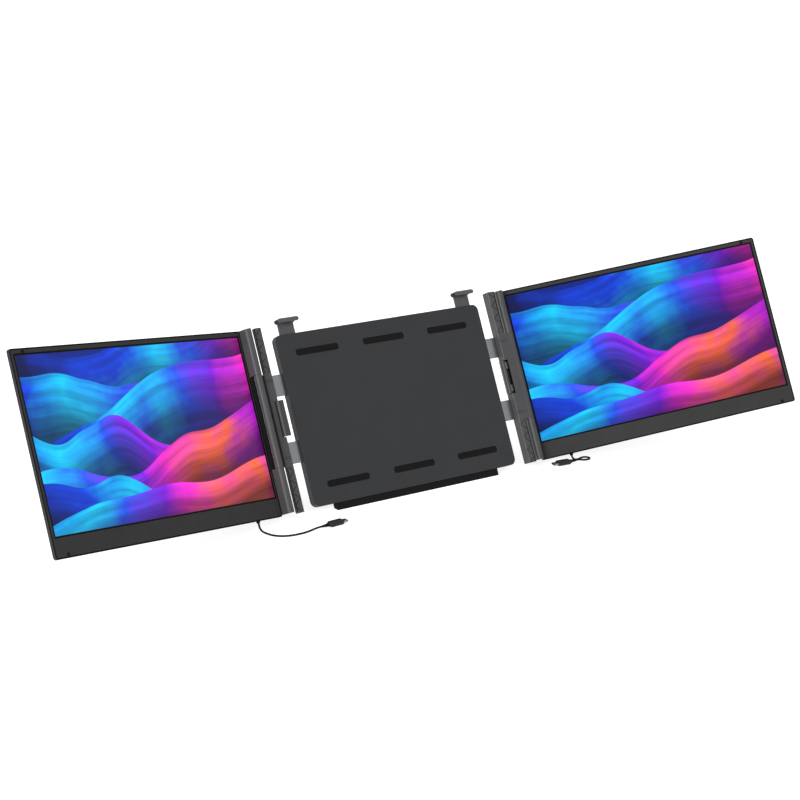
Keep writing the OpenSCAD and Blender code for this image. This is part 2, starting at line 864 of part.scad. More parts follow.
module hook_pad(side)
    color("#1c1c1d")
        beside(side)
            translate([hook_x, 0, 0])
                crosswise(strap_w - 1) {
                    top = hook_top - strap_t;
                    back = hook_front - lip_t;
                    polygon([
                        [top, rest_face], [top, back], [hook_top - lip_h + 0.6, back],
                        [hook_top - lip_h + 0.6, back - hook_pad_t],
                        [top - hook_pad_t, back - hook_pad_t], [top - hook_pad_t, rest_face]
                    ]);
                }

// ---- Screens ----

module screen_outline(inset_out = 0, inset_ends = 0)
    round_outline(axis_to_edge, screen_bottom + inset_ends,
                  screen_out - inset_out, screen_top - inset_ends, screen_corner);

module view_outline(grow = 0)
    box_outline(view_in - grow, -view_h / 2 - grow, view_in + view_w + grow, view_h / 2 + grow);

module chin_outline(grow = 0)
    box_outline(gland_x - 12 - grow, screen_bottom + chin_wall - grow,
                view_in + view_w * 0.6 + grow, glass_low - 1.6 + grow);

module at_frame_screws() {
    for (part = [0.08, 0.5, 0.92])
        translate([view_in + view_w * part, screen_top - 3.6, cover_back])
            children();
    for (x = [view_in + view_w * 0.7, screen_out - 18])
        translate([x, screen_bottom + 5, cover_back])
            children();
}

module at_flange_screws()
    for (y = [flange_middle(1) - 10, flange_middle(1) + 10,
              flange_middle(-1) - 10, flange_middle(-1) + 10])
        translate([axis_to_edge + 6.2, y, cover_back])
            children();

module gland_hole()
    translate([gland_x, screen_bottom + 4, seam])
        rotate([90, 0, 0])
            cylinder(h = 8, r = gland_r + slip);

module bezel(side)
    color("#262728")
        screen_frame(side)
            difference() {
                layer(seam, frame_front) screen_outline();
                layer(seam - 1, frame_front + 1) view_outline();
                layer(seam - 1, glass_front + slip) view_outline(glass_lap + slip);
                layer(seam - 1, frame_front - wall) chin_outline();
                gland_hole();
                at_frame_screws()
                    cylinder(h = screen_t - 0.8, r = screw_r + slip);
            }

module flange_outline(grow = 0)
    for (end = [-1, 1])
        box_outline(axis_to_edge - 1.5, flange_middle(end) - flange_h / 2 - grow,
                    axis_to_edge + flange_reach + grow, flange_middle(end) + flange_h / 2 + grow);

module at_buttons() {
    translate([power_x, screen_bottom + button_up, 0]) children();
    translate([menu_x, screen_bottom + button_up, 0]) children();
}

module rear_cover(side)
    color("#2b2c2e")
        screen_frame(side)
            difference() {
                hull() {
                    layer(seam - 0.8, seam - slip)
                        screen_outline($fn = 32);
                    layer(cover_back, cover_back + 0.2)
                        screen_outline(cover_taper, cover_taper, $fn = 32);
                }
                layer(backlight_back - slip, seam + 1) view_outline(glass_lap + slip);
                layer(cover_floor, seam + 1) chin_outline();
                layer(flange_back - slip, backlight_back + slip) flange_outline(slip);
                gland_hole();
                at_buttons()
                    translate([0, 0, cover_back - 1])
                        cylinder(h = 4, r = button_r + play);
                at_frame_screws()
                    translate([0, 0, -0.01])
                        countersunk(screw_r, screw_head_r, screw_head_h, cover_depth + 1, slip);
                at_flange_screws()
                    translate([0, 0, -0.01])
                        countersunk(screw_r, screw_head_r, screw_head_h, 2, slip);
            }

module display_panel(side)
    color("#1d1f7a")
        screen_frame(side)
            layer(glass_front - glass_t, glass_front) view_outline(glass_lap - slip);

module backlight(side)
    color("#d8dadc")
        screen_frame(side)
            layer(backlight_back, backlight_back + backlight_t) view_outline(glass_lap - 0.4);

module driver_board(side)
    color("#1f5a3a")
        screen_frame(side)
            difference() {
                union() {
                    layer(board_back, board_front)
                        chin_outline(-0.4);
                    for (i = [1 : chips])
                        translate([gland_x + i * chip_pitch, screen_bottom + button_up, 0])
                            layer(board_front - 0.1, board_front + chip_t)
                                square([chip_w, chip_h], center = true);
                    at_buttons()
                        layer(board_back - 0.5, board_back + 0.1)
                            square(switch_w, center = true);
                }
                // room for the gland's collar
                layer(board_back - 1, board_front + 1)
                    box_outline(gland_x - 3, screen_bottom, gland_x + 3, screen_bottom + gland_back + 1);
            }

module bumpers(side)
    color("#161617")
        screen_frame(side)
            for (y = [screen_top - top_margin / 2, screen_bottom + 3.6])
                translate([screen_out - 18, y, frame_front])
                    cylinder(h = bumper_h, r = bumper_r);

module screen_screws(side)
    color("#66686b")
        screen_frame(side) {
            at_frame_screws()
                countersunk(screw_r, screw_head_r, screw_head_h, screen_t - 1.4);
            at_flange_screws()
                countersunk(screw_r, screw_head_r, screw_head_h, 1 + flange_t - slip);
        }

module neck_outline() {
    low = cover_back + 0.6;
    bevel = 1.5;
    polygon([
        [-barrel_r, 0], [-barrel_r, low + bevel], [-barrel_r + bevel, low],
        [axis_to_edge - slip, low], [axis_to_edge - slip, 0]
    ]);
    circle(barrel_r);
}

// end is 1 for the top knuckle and -1 for the bottom one
module knuckle(side, end)
    color("#5c5d5e")
        screen_frame(side)
            difference() {
                union() {
                    if (end > 0)
                        upright(top_knuckle_low, screen_top) neck_outline();
                    else
                        upright(screen_bottom + knuckle_step, bottom_knuckle_high) neck_outline();
                    layer(flange_back, flange_back + flange_t)
                        box_outline(0, flange_middle(end) - flange_h / 2,
                                    axis_to_edge + flange_reach, flange_middle(end) + flange_h / 2);
                }
                translate([0, end > 0 ? top_knuckle_low + pin_out + slip : bottom_knuckle_high + 1, 0])
                    rotate([90, 0, 0])
                        cylinder(h = pin_out + 1 + slip, r = pin_r + slip / 2);
                at_flange_screws()
                    cylinder(h = 3, r = screw_r + slip);
            }

module hinge_pins(side)
    color("#a5a7aa")
        screen_frame(side) {
            translate([0, top_knuckle_low + pin_out, 0])
                rotate([90, 0, 0])
                    cylinder(h = pin_in + pin_out - 1, r = pin_r);
            translate([0, bottom_knuckle_high + pin_in - 1, 0])
                rotate([90, 0, 0])
                    cylinder(h = pin_in + pin_out - 1, r = pin_r);
        }

module button(side, x)
    screen_frame(side)
        translate([x, screen_bottom + button_up, 0]) {
            translate([0, 0, cover_back - button_proud])
                cylinder(h = cover_floor - cover_back + button_proud + play, r = button_r);
            translate([0, 0, cover_floor + play])
                cylinder(h = 0.7, r = button_r + 1);
        }

module power_button(side) color("#8b1a1a") button(side, power_x);
module menu_button(side) color("#1c1c1d") button(side, menu_x);

// ---- Cords ----

// A rubber grommet: a collar inside the screen, a neck through its wall and a cone outside
module cable_gland(side)
    color("#161617")
        screen_frame(side)
            translate([gland_x, screen_bottom, seam])
                rotate([90, 0, 0])
                    rotate_extrude()
                        polygon([
                            [0, -gland_back], [collar_r, -gland_back],
                            [collar_r, collar_t - gland_back], [gland_r, collar_t - gland_back],
                            [gland_r, slip], [gland_r + 1, slip], [gland_r + 1, 0.5],
                            [cord_d / 2 + 0.4, gland_len], [0, gland_len]
                        ]);

// Rings square to the route, each turned as little as it can be from the last
function unit(v) = v / norm(v);
function heading(route, i) =
    let (last = len(route) - 1)
        unit(route[min(i + 1, last)] - route[max(i - 1, 0)]);
function ring(centre, along, r) =
    let (across = unit(cross(along, [0, 0, 1])), up = cross(across, along))
        [for (k = [0 : cord_sides - 1])
            centre + r * (across * cos(360 * k / cord_sides) + up * sin(360 * k / cord_sides))];

module cord(route) {
    count = len(route);
    points = [for (i = [0 : count - 1]) each ring(route[i], heading(route, i), cord_d / 2)];
    sides = [for (i = [0 : count - 2], k = [0 : cord_sides - 1])
        let (a = i * cord_sides + k, b = i * cord_sides + (k + 1) % cord_sides)
            [a, b, b + cord_sides, a + cord_sides]];
    near_cap = [[for (k = [cord_sides - 1 : -1 : 0]) k]];
    far_cap = [[for (k = [0 : cord_sides - 1]) (count - 1) * cord_sides + k]];
    polyhedron(points, concat(near_cap, sides, far_cap));
}

module left_cable() color("#161617") cord(left_route);
module right_cable() color("#161617") cord(right_route);

// x runs along the plug from the end of the cord
module plug_frame(route) {
    end = route[len(route) - 1];
    along = end - route[len(route) - 2];
    translate(end)
        rotate([0, 0, atan2(along[1], along[0])])
            children();
}

module plug_relief(route)
    color("#161617")
        plug_frame(route)
            rotate([0, 90, 0])
                cylinder(h = relief_len, r1 = cord_d / 2 + 0.3, r2 = cord_d / 2 + 1);

// A flat grip with rounded sides and the metal tip that goes into the computer
module cable_plug(route)
    color("#2b2c2e")
        plug_frame(route)
            translate([relief_len, 0, 0])
                rotate([90, 0, 90]) {
                    linear_extrude(plug_len)
                        round_outline(-plug_w / 2, -plug_h / 2, plug_w / 2, plug_h / 2, plug_h * 0.4);
                    translate([0, 0, plug_len])
                        linear_extrude(tip_len)
                            round_outline(-tip_w / 2, -tip_h / 2, tip_w / 2, tip_h / 2, tip_h * 0.48);
                }

// ---- Drawing ----

front_plate();
back_cover();
lid_rest_pads();
desk_foot();
housing_screws();
arm_guide_studs();
hook_guide_studs();
stand_hinge_pin();
kickstand();
kickstand_foot();
arm_plate(-1);  // left_arm_plate
column(-1);  // left_column
column_screws(-1);  // left_column_screws
friction_sleeves(-1);  // left_friction_sleeves
clip_pin(-1);  // left_clip_pin
arm_plate(1);  // right_arm_plate
column(1);  // right_column
column_screws(1);  // right_column_screws
friction_sleeves(1);  // right_friction_sleeves
clip_pin(1);  // right_clip_pin
clip(-1);  // left_clip
clip_pad(-1);  // left_clip_pad
clip(1);  // right_clip
clip_pad(1);  // right_clip_pad
hook(-1);  // left_hook
hook_pad(-1);  // left_hook_pad
hook(1);  // right_hook
hook_pad(1);  // right_hook_pad
bezel(-1);  // left_bezel
rear_cover(-1);  // left_rear_cover
knuckle(-1, 1);  // left_top_knuckle
knuckle(-1, -1);  // left_bottom_knuckle
hinge_pins(-1);  // left_hinge_pins
display_panel(-1);  // left_display_panel
backlight(-1);  // left_backlight
driver_board(-1);  // left_driver_board
cable_gland(-1);  // left_cable_gland
bumpers(-1);  // left_bumpers
screen_screws(-1);  // left_screen_screws
bezel(1);  // right_bezel
rear_cover(1);  // right_rear_cover
knuckle(1, 1);  // right_top_knuckle
knuckle(1, -1);  // right_bottom_knuckle
hinge_pins(1);  // right_hinge_pins
display_panel(1);  // right_display_panel
backlight(1);  // right_backlight
driver_board(1);  // right_driver_board
cable_gland(1);  // right_cable_gland
bumpers(1);  // right_bumpers
screen_screws(1);  // right_screen_screws
power_button(-1);  // left_power_button
menu_button(-1);  // left_menu_button
power_button(1);  // right_power_button
menu_button(1);  // right_menu_button
left_cable();
plug_relief(left_route);  // left_plug_relief
cable_plug(left_route);  // left_cable_plug
right_cable();
plug_relief(right_route);  // right_plug_relief
cable_plug(right_route);  // right_cable_plug
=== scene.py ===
# %% [markdown]
# # Two folding side screens on a lid clamp
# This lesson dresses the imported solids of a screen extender: a centre housing that hangs on a
# portable computer's lid, two sliding columns with knuckle hinges, and a screen on each side.
# The solids come as a fixed frame in metres. Every piece made here sits inside that frame and
# rides on one of its bodies.

# %% Load the frame
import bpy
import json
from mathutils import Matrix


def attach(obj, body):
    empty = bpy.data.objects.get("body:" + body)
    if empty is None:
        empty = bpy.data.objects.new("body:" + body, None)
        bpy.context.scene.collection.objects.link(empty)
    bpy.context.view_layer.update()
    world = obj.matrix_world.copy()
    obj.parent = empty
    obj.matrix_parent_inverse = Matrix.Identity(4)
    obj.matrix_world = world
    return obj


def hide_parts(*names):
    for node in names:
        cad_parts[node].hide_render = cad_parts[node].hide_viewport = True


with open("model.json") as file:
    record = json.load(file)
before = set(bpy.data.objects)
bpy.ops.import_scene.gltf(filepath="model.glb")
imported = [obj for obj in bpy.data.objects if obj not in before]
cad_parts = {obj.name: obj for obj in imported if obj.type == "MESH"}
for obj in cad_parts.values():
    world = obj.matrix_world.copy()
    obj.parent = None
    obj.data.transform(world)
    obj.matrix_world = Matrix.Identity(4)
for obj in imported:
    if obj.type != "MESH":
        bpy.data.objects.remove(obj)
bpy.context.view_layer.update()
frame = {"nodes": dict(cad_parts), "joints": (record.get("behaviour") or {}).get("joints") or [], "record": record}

import json
import math

import bmesh
import bpy
from mathutils import Matrix, Vector

MM = 0.001
SIDES = ("left", "right")
record = frame["record"]
body_of = {node: body for body, nodes in record["behaviour"]["bodies"].items() for node in nodes}
slot_of = {part["node"]: part["material_slot"] for part in record["subparts"]}

# %% [markdown]
# ## The camera
# The corners of both pictures, the column ends and the hooks were matched to the solids by
# least squares. That gives one long lens, 2.4 metres away, above the screens and to their
# left.

# %% The camera
FITTED_LENS_MM = 87.856
FITTED_PLACE = (-1.30227, -1.85438, 0.77857)
FITTED_TURN_DEG = (73.711, -0.311, -34.393)

camera = bpy.data.objects.new("camera", bpy.data.cameras.new("camera"))
camera.data.sensor_width = 36
camera.data.lens = FITTED_LENS_MM
camera.location = FITTED_PLACE
camera.rotation_euler = [math.radians(angle) for angle in FITTED_TURN_DEG]
bpy.context.scene.collection.objects.link(camera)
bpy.context.scene.camera = camera
print("camera at", tuple(round(part, 3) for part in camera.location))

# %% [markdown]
# ## The cords
# Each screen has a thin round cord. It leaves a rubber grommet under the screen, drops to the
# desk, lies in a short curve and ends in a flat plug. A curve with automatic handles through
# the route's points bends evenly, and its own bevel gives the round section.

# %% The cords
CORD_D = 2.4 * MM
CORD_ROUTES = {
    "left": [
        (-0.2347, -0.0134, 0.0090), (-0.2347, -0.0147, 0.0064), (-0.2346, -0.0166, 0.0039),
        (-0.2343, -0.0196, 0.0020), (-0.2338, -0.0232, 0.0013), (-0.2332, -0.0280, 0.0013),
        (-0.2318, -0.0340, 0.0013), (-0.2288, -0.0402, 0.0013), (-0.2238, -0.0452, 0.0013),
        (-0.2174, -0.0486, 0.0013), (-0.2102, -0.0504, 0.0013), (-0.2028, -0.0509, 0.0013),
        (-0.1954, -0.0507, 0.0014), (-0.1882, -0.0500, 0.0018), (-0.1814, -0.0493, 0.0026),
        (-0.1754, -0.0487, 0.0031), (-0.1700, -0.0482, 0.0031),
    ],
    "right": [
        (0.2346, -0.0080, 0.0064), (0.2347, -0.0089, 0.0046), (0.2354, -0.0099, 0.0031),
        (0.2372, -0.0111, 0.0019), (0.2404, -0.0116, 0.0014), (0.2446, -0.0108, 0.0013),
        (0.2486, -0.0094, 0.0013), (0.2526, -0.0088, 0.0013), (0.2562, -0.0104, 0.0013),
        (0.2580, -0.0138, 0.0013), (0.2568, -0.0174, 0.0013), (0.2532, -0.0193, 0.0013),
        (0.2484, -0.0194, 0.0015), (0.2432, -0.0187, 0.0022), (0.2386, -0.0182, 0.0031),
        (0.2340, -0.0178, 0.0031),
    ],
}


def show(name, data):
    """Puts a mesh or curve into the scene as an object at the origin."""
    piece = bpy.data.objects.new(name, data)
    bpy.context.scene.collection.objects.link(piece)
    return piece


def cord_curve(name, route):
    """A round curve through the points of a route."""
    curve = bpy.data.curves.new(name, "CURVE")
    curve.dimensions = "3D"
    curve.resolution_u = 6
    curve.bevel_depth = CORD_D / 2
    curve.bevel_resolution = 4
    curve.use_fill_caps = True
    spline = curve.splines.new("BEZIER")
    spline.bezier_points.add(len(route) - 1)
    for point, place in zip(spline.bezier_points, route):
        point.co = place
        point.handle_left_type = point.handle_right_type = "AUTO"
    return show(name, curve)


cords = {side: cord_curve(f"{side}_cord", CORD_ROUTES[side]) for side in SIDES}

# %% [markdown]
# ## Nodes, colours and one helper
# A real finish is several effects at once: a colour, a grain and a gloss. In Blender they are
# nodes that feed one shader. One helper adds any node with its settings, its links and its
# values, so a material below reads like a recipe. Colours are written as sRGB hex values, as
# a paint chart gives them, and turned to the linear values that the shader wants.

# %% Helpers for colours and nodes
def linear(hex_colour):
    """Turns an sRGB value such as #3c3d3f to a linear colour with alpha."""
    parts = [int(hex_colour[i : i + 2], 16) / 255 for i in (1, 3, 5)]
    return [p / 12.92 if p <= 0.04045 else ((p + 0.055) / 1.055) ** 2.4 for p in parts] + [1]


def put(tree, kind, inputs=None, **settings):
    """Adds a node. inputs maps a socket's name or number to a value or to another socket."""
    node = tree.nodes.new(kind)
    for key, value in settings.items():
        setattr(node, key, value)
    for key, value in (inputs or {}).items():
        if isinstance(value, bpy.types.NodeSocket):
            tree.links.new(value, node.inputs[key])
        else:
            node.inputs[key].default_value = value
    return node


def new_material(name):
    """A material whose node tree is still empty, and that tree."""
    material = bpy.data.materials.new(name)
    material.use_nodes = True
    material.node_tree.nodes.clear()
    return material, material.node_tree


# %% [markdown]
# ## Painted, moulded and rubber finishes
# The housing, the columns and the clips look like bead-blasted aluminium under a dark anodised
# layer: an even tone with a very fine grain and a satin gloss. The screens' frames are moulded
# ABS with a spark-eroded texture, and the pads are matt rubber. They share one recipe with
# other numbers: a soft cloud that shifts the tone by a few percent, and a grain for bump and
# roughness. The real grain is about 0.1 mm, too fine to show here, so it is drawn coarser.

# %% Grained finishes
def grained(name, colour, grain_mm, roughness, bump, specular=0.3, tone=0.06):
    material, tree = new_material(name)
    place = put(tree, "ShaderNodeTexCoord").outputs["Object"]
    cloud = put(tree, "ShaderNodeTexNoise", {"Vector": place, "Scale": 28, "Detail": 3})
    grain = put(tree, "ShaderNodeTexNoise",
                {"Vector": place, "Scale": 1 / (grain_mm * MM), "Detail": 2, "Roughness": 0.6})
    shade = put(tree, "ShaderNodeMapRange",
                {"Value": cloud.outputs["Fac"], "From Min": 0.3, "From Max": 0.7,
                 "To Min": 1 - tone, "To Max": 1 + tone})
    tint = put(tree, "ShaderNodeVectorMath", {0: linear(colour)[:3], "Scale": shade.outputs[0]},
               operation="SCALE")
    gloss = put(tree, "ShaderNodeMapRange",
                {"Value": grain.outputs["Fac"], "From Min": 0.3, "From Max": 0.7,
                 "To Min": roughness - 0.05, "To Max": roughness + 0.07})
    relief = put(tree, "ShaderNodeBump",
                 {"Height": grain.outputs["Fac"], "Strength": bump, "Distance": 0.08 * MM})
    shader = put(tree, "ShaderNodeBsdfPrincipled",
                 {"Base Color": tint.outputs[0], "Roughness": gloss.outputs[0],
                  "Normal": relief.outputs[0], "Specular IOR Level": specular})
    put(tree, "ShaderNodeOutputMaterial", {"Surface": shader.outputs[0]})
    return material


finish = {
    "housing_paint": grained("dark_anodised_aluminium", "#2c2d2f", 0.7, 0.5, 0.35),
    "column_paint": grained("grey_anodised_aluminium", "#4a4a4b", 0.6, 0.42, 0.3, specular=0.35),
    "clip_paint": grained("black_anodised_aluminium", "#38393b", 0.6, 0.4, 0.3, specular=0.4),
    "rubber": grained("matt_black_rubber", "#111112", 1.0, 0.8, 0.5, specular=0.15),
    "bezel_plastic": grained("spark_eroded_black_abs", "#424242", 0.8, 0.62, 0.4, specular=0.05),
    "cover_plastic": grained("spark_eroded_grey_abs", "#2a2b2d", 0.9, 0.58, 0.45),
    "button_plastic": grained("satin_black_abs", "#1a1a1b", 0.8, 0.4, 0.2),
    "plug_plastic": grained("moulded_black_pvc", "#161617", 0.8, 0.5, 0.3),
    "backlight_sheet": grained("white_diffuser_sheet", "#e4e6e8", 1.2, 0.35, 0.1, tone=0.01),
    "hook_satin": grained("satin_grey_aluminium", "#4c4d4f", 0.6, 0.32, 0.05, specular=0.5),
}
print(len(finish), "grained finishes")

# %% [markdown]
# ## Bare metals
# Pins, screws and arms are turned or rolled steel, and the friction sleeves are brass. Rolled
# sheet and turned rods carry fine lines in one direction. A noise that is stretched along one
# axis draws them, and the same lines move the roughness, so highlights break up.

# %% Bare metals
def drawn_metal(name, colour, line_mm, stretch, roughness):
    material, tree = new_material(name)
    place = put(tree, "ShaderNodeTexCoord").outputs["Object"]
    squeezed = put(tree, "ShaderNodeMapping", {"Vector": place, "Scale": stretch})
    lines = put(tree, "ShaderNodeTexNoise",
                {"Vector": squeezed.outputs[0], "Scale": 1 / (line_mm * MM), "Detail": 3})
    gloss = put(tree, "ShaderNodeMapRange",
                {"Value": lines.outputs["Fac"], "From Min": 0.3, "From Max": 0.7,
                 "To Min": roughness - 0.03, "To Max": roughness + 0.04})
    relief = put(tree, "ShaderNodeBump",
                 {"Height": lines.outputs["Fac"], "Strength": 0.12, "Distance": 0.02 * MM})
    shade = put(tree, "ShaderNodeMapRange",
                {"Value": lines.outputs["Fac"], "To Min": 0.96, "To Max": 1.04})
    tint = put(tree, "ShaderNodeVectorMath", {0: linear(colour)[:3], "Scale": shade.outputs[0]},
               operation="SCALE")
    shader = put(tree, "ShaderNodeBsdfPrincipled",
                 {"Base Color": tint.outputs[0], "Roughness": gloss.outputs[0],
                  "Normal": relief.outputs[0], "Metallic": 1.0})
    put(tree, "ShaderNodeOutputMaterial", {"Surface": shader.outputs[0]})
    return material


finish["steel"] = drawn_metal("brushed_steel", "#808286", 0.5, (0.08, 1, 1), 0.36)
finish["brass"] = drawn_metal("turned_brass", "#c79a52", 0.4, (1, 1, 0.1), 0.3)
finish["socket_steel"] = drawn_metal("blackened_steel", "#5a5c60", 0.3, (1, 1, 1), 0.38)
# the clip's pin is phosphated steel, and its near-black tone is also painted shade for the dark notch it sits in
finish["blackened_pin"] = drawn_metal("phosphated_steel", "#26272a", 0.3, (1, 1, 1), 0.5)
print("steel, brass, blackened and phosphated steel")

# %% Which finish a node wears
VARIANTS = {"clip_pin": "blackened_pin", "hook": "hook_satin"}


def look(node):
    """A node's finish: the one of its slot, or a variant of it."""
    part = node.partition("_")[2]
    return finish[VARIANTS.get(part, slot_of[node])]


print("variants for", " and ".join(VARIANTS))

# %% [markdown]
# ## The circuit board
# A board is green solder mask over copper tracks, with tin on its pads. It hides behind the
# chin, so a brick pattern is enough for its tracks.

# %% The circuit board
def circuit_board():
    material, tree = new_material("green_solder_mask")
    place = put(tree, "ShaderNodeTexCoord").outputs["Object"]
    tracks = put(tree, "ShaderNodeTexBrick",
                 {"Vector": place, "Scale": 1 / (6 * MM), "Mortar Size": 0.06,
                  "Color1": linear("#1d5a39"), "Color2": linear("#246843"),
                  "Mortar": linear("#8a9a55")})
    shader = put(tree, "ShaderNodeBsdfPrincipled",
                 {"Base Color": tracks.outputs["Color"], "Roughness": 0.35, "Coat Weight": 0.4})
    put(tree, "ShaderNodeOutputMaterial", {"Surface": shader.outputs[0]})
    return material


finish["circuit_board"] = circuit_board()

# %% [markdown]
# ## Where a panel lies
# A pattern on a turned screen needs that screen's own directions. Up runs along its hinge,
# which the joints give. The panel's largest face gives the direction that it faces. From
# these come the picture's corner, its width and its height.

# %% Where each panel lies
joint_axis = {joint["name"]: Vector(joint["axis"]).normalized() for joint in frame["joints"]}
LAP = 1.95 * MM      # glass hidden under the frame's lip
RIGHTWARD = Vector((1, 0, 0))
bracket_up = joint_axis["left_screen_hinge"]
bracket_front = RIGHTWARD.cross(bracket_up)


def corners(node):
    """The places of a node's vertices."""
    return [vertex.co.copy() for vertex in frame["nodes"][node].data.vertices]


def panel_frame(side):
    """A panel's directions, and the corner and the size of its picture."""
    mesh = frame["nodes"][f"{side}_display_panel"].data
    up = joint_axis[f"{side}_screen_hinge"]
    facing = max(mesh.polygons, key=lambda face: face.area).normal.copy()
    if facing.y > 0:
        facing = -facing
    across = up.cross(facing).normalized()
    places = corners(f"{side}_display_panel")
    along = [place.dot(across) for place in places]
    high = [place.dot(up) for place in places]
    width = max(along) - min(along) - 2 * LAP
    height = max(high) - min(high) - 2 * LAP
    corner = (min(along) + LAP, min(high) + LAP)
    return {"across": across, "up": up, "facing": facing, "corner": corner, "width": width,
            "height": height}


panels = {side: panel_frame(side) for side in SIDES}
for side, panel in panels.items():
    size = [round(panel[length] / MM, 1) for length in ("width", "height")]
    print(side, "picture", size, "mm")

# %% [markdown]
# ## The lit picture
# The screens show a bright wallpaper. This one is an abstract of its own: sheets of silk that
# lie one before the other, from deep blue over cyan and violet to magenta and orange. Each
# sheet has a wavy upper edge. Below that edge it starts bright and darkens, and fine streaks
# run along it. A panel makes its own light, so the picture goes to the emission at strength 1,
# under glass with a weak gloss, and the glass outside the picture stays black.

# %% The lit picture
def colours(ramp_node, stops):
    """Gives a colour ramp its stops, pairs of a position and an sRGB colour."""
    elements = ramp_node.color_ramp.elements
    while len(elements) < len(stops):
        elements.new(0.5)
    for element, (position, colour) in zip(elements, stops):
        element.position = position
        element.color = linear(colour)
    return ramp_node.outputs["Color"]


def picture_place(tree, side):
    """Distances along and up the panel, as shares of the picture's width."""
    panel = panels[side]
    place = put(tree, "ShaderNodeTexCoord").outputs["Object"]
    shares = []
    for direction, start in zip((panel["across"], panel["up"]), panel["corner"]):
        reach = put(tree, "ShaderNodeVectorMath", {0: place, 1: direction},
                    operation="DOT_PRODUCT")
        share = put(tree, "ShaderNodeMapRange",
                    {"Value": reach.outputs["Value"], "From Min": start,
                     "From Max": start + panel["width"]}, clamp=False)
        shares.append(share.outputs[0])
    return shares


# height of the upper edge, rise to the right, swing, waves, shift in the palette, depth
SHEETS = [
    (0.58, 0.05, 0.30, 1.5, -0.18, 0.22), (0.50, -0.12, 0.26, 1.9, 0.02, 0.20),
    (0.30, 0.22, 0.22, 1.6, -0.10, 0.20), (0.34, -0.16, 0.20, 2.3, 0.10, 0.17),
    (0.16, 0.16, 0.18, 1.8, 0.20, 0.16), (0.16, -0.08, 0.14, 2.6, -0.02, 0.15),
    (0.03, 0.10, 0.12, 2.2, 0.12, 0.12),
]
PALETTE = [
    (0.0, "#04104e"), (0.16, "#0a3fd6"), (0.3, "#12c4f6"), (0.42, "#2450e8"),
    (0.55, "#7a16d8"), (0.68, "#f02bc6"), (0.8, "#ff6a3c"), (0.88, "#c01fd0"), (1.0, "#3a0a90"),
]
BACKDROP = [(0.0, "#020a38"), (0.4, "#062a9c"), (0.7, "#24107c"), (1.0, "#5a0a8c")]
BLACK_EDGE = 0.0015      # dark margin of the lit area, as a share of the picture's width
SHEET_BLUR = 0.003       # over which a sheet's upper edge sets in, as a share of it too
STREAKS = (2.6, 38, 1)   # their scale along the edge and across it
WAVE_STEP, STREAK_STEP = 3.7, 5.1      # steps through the noise, so that no two sheets agree


def silk_sheet(tree, number, u, v, tone):
    """Where a sheet covers what lies behind it, and its colour."""
    height, rise, swing, waves, shift, depth = SHEETS[number]
    spot = put(tree, "ShaderNodeCombineXYZ", {"X": u, "Y": WAVE_STEP * number})
    wander = put(tree, "ShaderNodeTexNoise",
                 {"Vector": spot.outputs[0], "Scale": waves, "Detail": 1.2})
    swung = put(tree, "ShaderNodeMath",
                {0: wander.outputs["Fac"], 1: 2 * swing, 2: height - swing},
                operation="MULTIPLY_ADD")
    edge = put(tree, "ShaderNodeMath", {0: u, 1: rise, 2: swung.outputs[0]},
               operation="MULTIPLY_ADD")
    below = put(tree, "ShaderNodeMath", {0: edge.outputs[0], 1: v}, operation="SUBTRACT")
    cover = put(tree, "ShaderNodeMapRange", {"Value": below.outputs[0], "From Max": SHEET_BLUR})
    # streaks that follow the edge
    along = put(tree, "ShaderNodeCombineXYZ",
                {"X": u, "Y": below.outputs[0], "Z": STREAK_STEP * number})
    stretched = put(tree, "ShaderNodeVectorMath", {0: along.outputs[0], 1: STREAKS},
                    operation="MULTIPLY")
    streaks = put(tree, "ShaderNodeTexNoise",
                  {"Vector": stretched.outputs[0], "Scale": 1.0, "Detail": 3})
    silk = put(tree, "ShaderNodeMapRange",
               {"Value": streaks.outputs["Fac"], "From Min": 0.3, "From Max": 0.7,
                "To Min": 0.6, "To Max": 1.25})
    fall = put(tree, "ShaderNodeMapRange",
               {"Value": below.outputs[0], "From Max": depth, "To Min": 1.25, "To Max": 0.22},
               interpolation_type="SMOOTHSTEP")
    shade = put(tree, "ShaderNodeMath", {0: silk.outputs[0], 1: fall.outputs[0]},
                operation="MULTIPLY")
    shifted = put(tree, "ShaderNodeMath", {0: tone, 1: shift}, operation="ADD")
    hue = colours(put(tree, "ShaderNodeValToRGB", {"Fac": shifted.outputs[0]}), PALETTE)
    sheet = put(tree, "ShaderNodeVectorMath", {0: hue, "Scale": shade.outputs[0]},
                operation="SCALE")
    return cover.outputs[0], sheet.outputs[0]


def lit_area(tree, side, u, v):
    """1 on the picture, 0 on the black margin round it."""
    height_share = panels[side]["height"] / panels[side]["width"]
    inside = 1.0
    for share, top in ((u, 1), (v, height_share)):
        for value, operation in ((BLACK_EDGE, "GREATER_THAN"), (top - BLACK_EDGE, "LESS_THAN")):
            limit = put(tree, "ShaderNodeMath", {0: share, 1: value}, operation=operation)
            inside = put(tree, "ShaderNodeMath", {0: inside, 1: limit.outputs[0]},
                         operation="MULTIPLY").outputs[0]
    return inside


